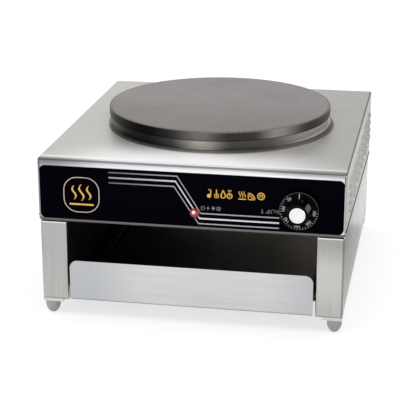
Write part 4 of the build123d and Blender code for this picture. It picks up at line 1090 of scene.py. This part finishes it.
def place_camera():
    """Stands a little right of the middle and above, and looks down on the front."""
    data = bpy.data.cameras.new("camera")
    data.sensor_width = 36
    data.lens = camera_lens
    data.clip_end = 60
    camera = shown(data)
    camera.location = camera_place
    camera.rotation_euler = (pi / 2 - camera_pitch, 0, camera_turn)
    bpy.context.scene.camera = camera


# ---------------------------------------------------------------- putting it together

finishes = {
    "cover_steel": cover_steel(),
    "side_steel": side_steel(),
    "tray_steel": tray_steel(),
    "dark_liner": dark_liner(),
    "plated": plated_steel("zinc_plate", (176, 178, 180), 0.4),
    "bright_plated": plated_steel("bright_zinc_plate", (226, 226, 224), 0.34),
    "turned_steel": turned_metal("turned_steel", (196, 196, 194), 0.3),
    "element": turned_metal("element_sheath", (104, 98, 92), 0.5, rust=0.6),
    "copper": turned_metal("drawn_copper", (201, 128, 92), 0.34, rust=0.5,
                           rust_tone=(112, 62, 40)),
    "brass": turned_metal("turned_brass", (206, 178, 104), 0.32),
    "cast_plate": cast_plate(),
    "collar": heated_collar(),
    "panel": gloss_panel(),
    "lens": lamp_lens(),
    "black_plastic": moulding("black_nylon", (24, 24, 26), 0.42),
    "knob_plastic": moulding("black_knob_plastic", (2, 2, 3), 0.26, texture=1500, relief=0.02,
                             specular=0.03, wear=3),
    # the dial lip's grey is a painted highlight
    "lip_plastic": moulding("knob_lip_painted_highlight", (58, 58, 62), 0.2, texture=1500, relief=0.01,
                            specular=0.5, wear=14),
    "grip_plastic": handled_grip(),
    # the dark bead standing for the seam's shadow
    "seam_shadow": moulding("dark_seam_shadow", (52, 50, 47), 0.6, specular=0.1),
    "foot_plastic": moulding("grey_foot_plastic", (144, 144, 141), 0.45),
    "rubber": moulding("black_rubber_grommet", (20, 20, 20), 0.7, specular=0.2),
    "ceramic": moulding("glazed_ceramic", (226, 222, 212), 0.28, texture=300, relief=0.1),
    "sleeve": woven_sleeve(),
    "wool": wool_felt(),
    "cap": spun_cap(),
}

inks = {
    "silver": ink("silver_ink", (164, 160, 168), foil=0.2, worn=0.8),
    "bright_silver": ink("bright_silver_ink", (210, 208, 214), foil=0.2, worn=0.7),
    "rose": ink("rose_ink", (186, 168, 158), foil=0.2),
    "gold": ink("gold_ink", (222, 178, 78), foil=0.35),
    "dim_white": ink("dim_white_ink", (122, 122, 128)),
    "white": ink("white_ink", (200, 200, 196)),
}

corners = ("front_left", "rear_left", "front_right", "rear_right")

dressed = {
    "cover_steel": ["top_cover"],
    "side_steel": ["left_side_panel", "right_side_panel", "rear_panel"],
    "tray_steel": ["tray_front", "tray_pan"],
    "dark_liner": [
        "housing_floor", "left_inner_wall", "right_inner_wall", "inner_back_wall",
        "left_tray_rail", "right_tray_rail",
    ],
    "bright_plated": ["foot_brackets"],
    "plated": [
        "thermostat_bracket", "clamp_plate", "insulation_pan", "front_support_bar",
        "rear_support_bar", "bulb_clip",
    ],
    "turned_steel": [
        "thermostat_screws", "thermostat_shaft", "plate_studs", "plate_nuts", "bar_bolts",
        "foot_weld_nuts", *(f"foot_stud_{corner}" for corner in corners),
    ],
    "element": ["inner_heating_element", "outer_heating_element"],
    "copper": ["sensing_bulb", "capillary_tube"],
    "brass": ["earth_stud"],
    "cast_plate": ["griddle_plate"],
    "collar": ["plate_collar"],
    "panel": ["fascia_panel"],
    "lens": ["indicator_lens"],
    "black_plastic": ["indicator_body", "indicator_nut", "cable_gland", "gland_nut"],
    "knob_plastic": ["knob_skirt"],
    "grip_plastic": ["knob_grip"],
    "foot_plastic": [f"foot_{corner}" for corner in corners],
    "rubber": ["floor_grommet"],
    "ceramic": ["terminal_block", "thermostat_body"],
    "sleeve": ["wiring"],
    "wool": ["insulation_disc"],
    "cap": ["knob_cap"],
}

for finish_name, node_names in dressed.items():
    for node_name in node_names:
        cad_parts[node_name].material_slots[0].material = finishes[finish_name]

stripes()
emblem()
title_pictures()
small_labels()
dial_print()
dial_lip()
seam_bead("left_seam_bead", -1)
seam_bead("right_seam_bead", 1)
back_screws("rear_panel_screws", rows=(0, 1), columns=(0, 1))
back_screws("cover_screws", rows=(0.5,), columns=(0, 0.5, 1))

lay_floor()
light_the_room()
place_camera()
bpy.context.scene.view_settings.view_transform = "Standard"
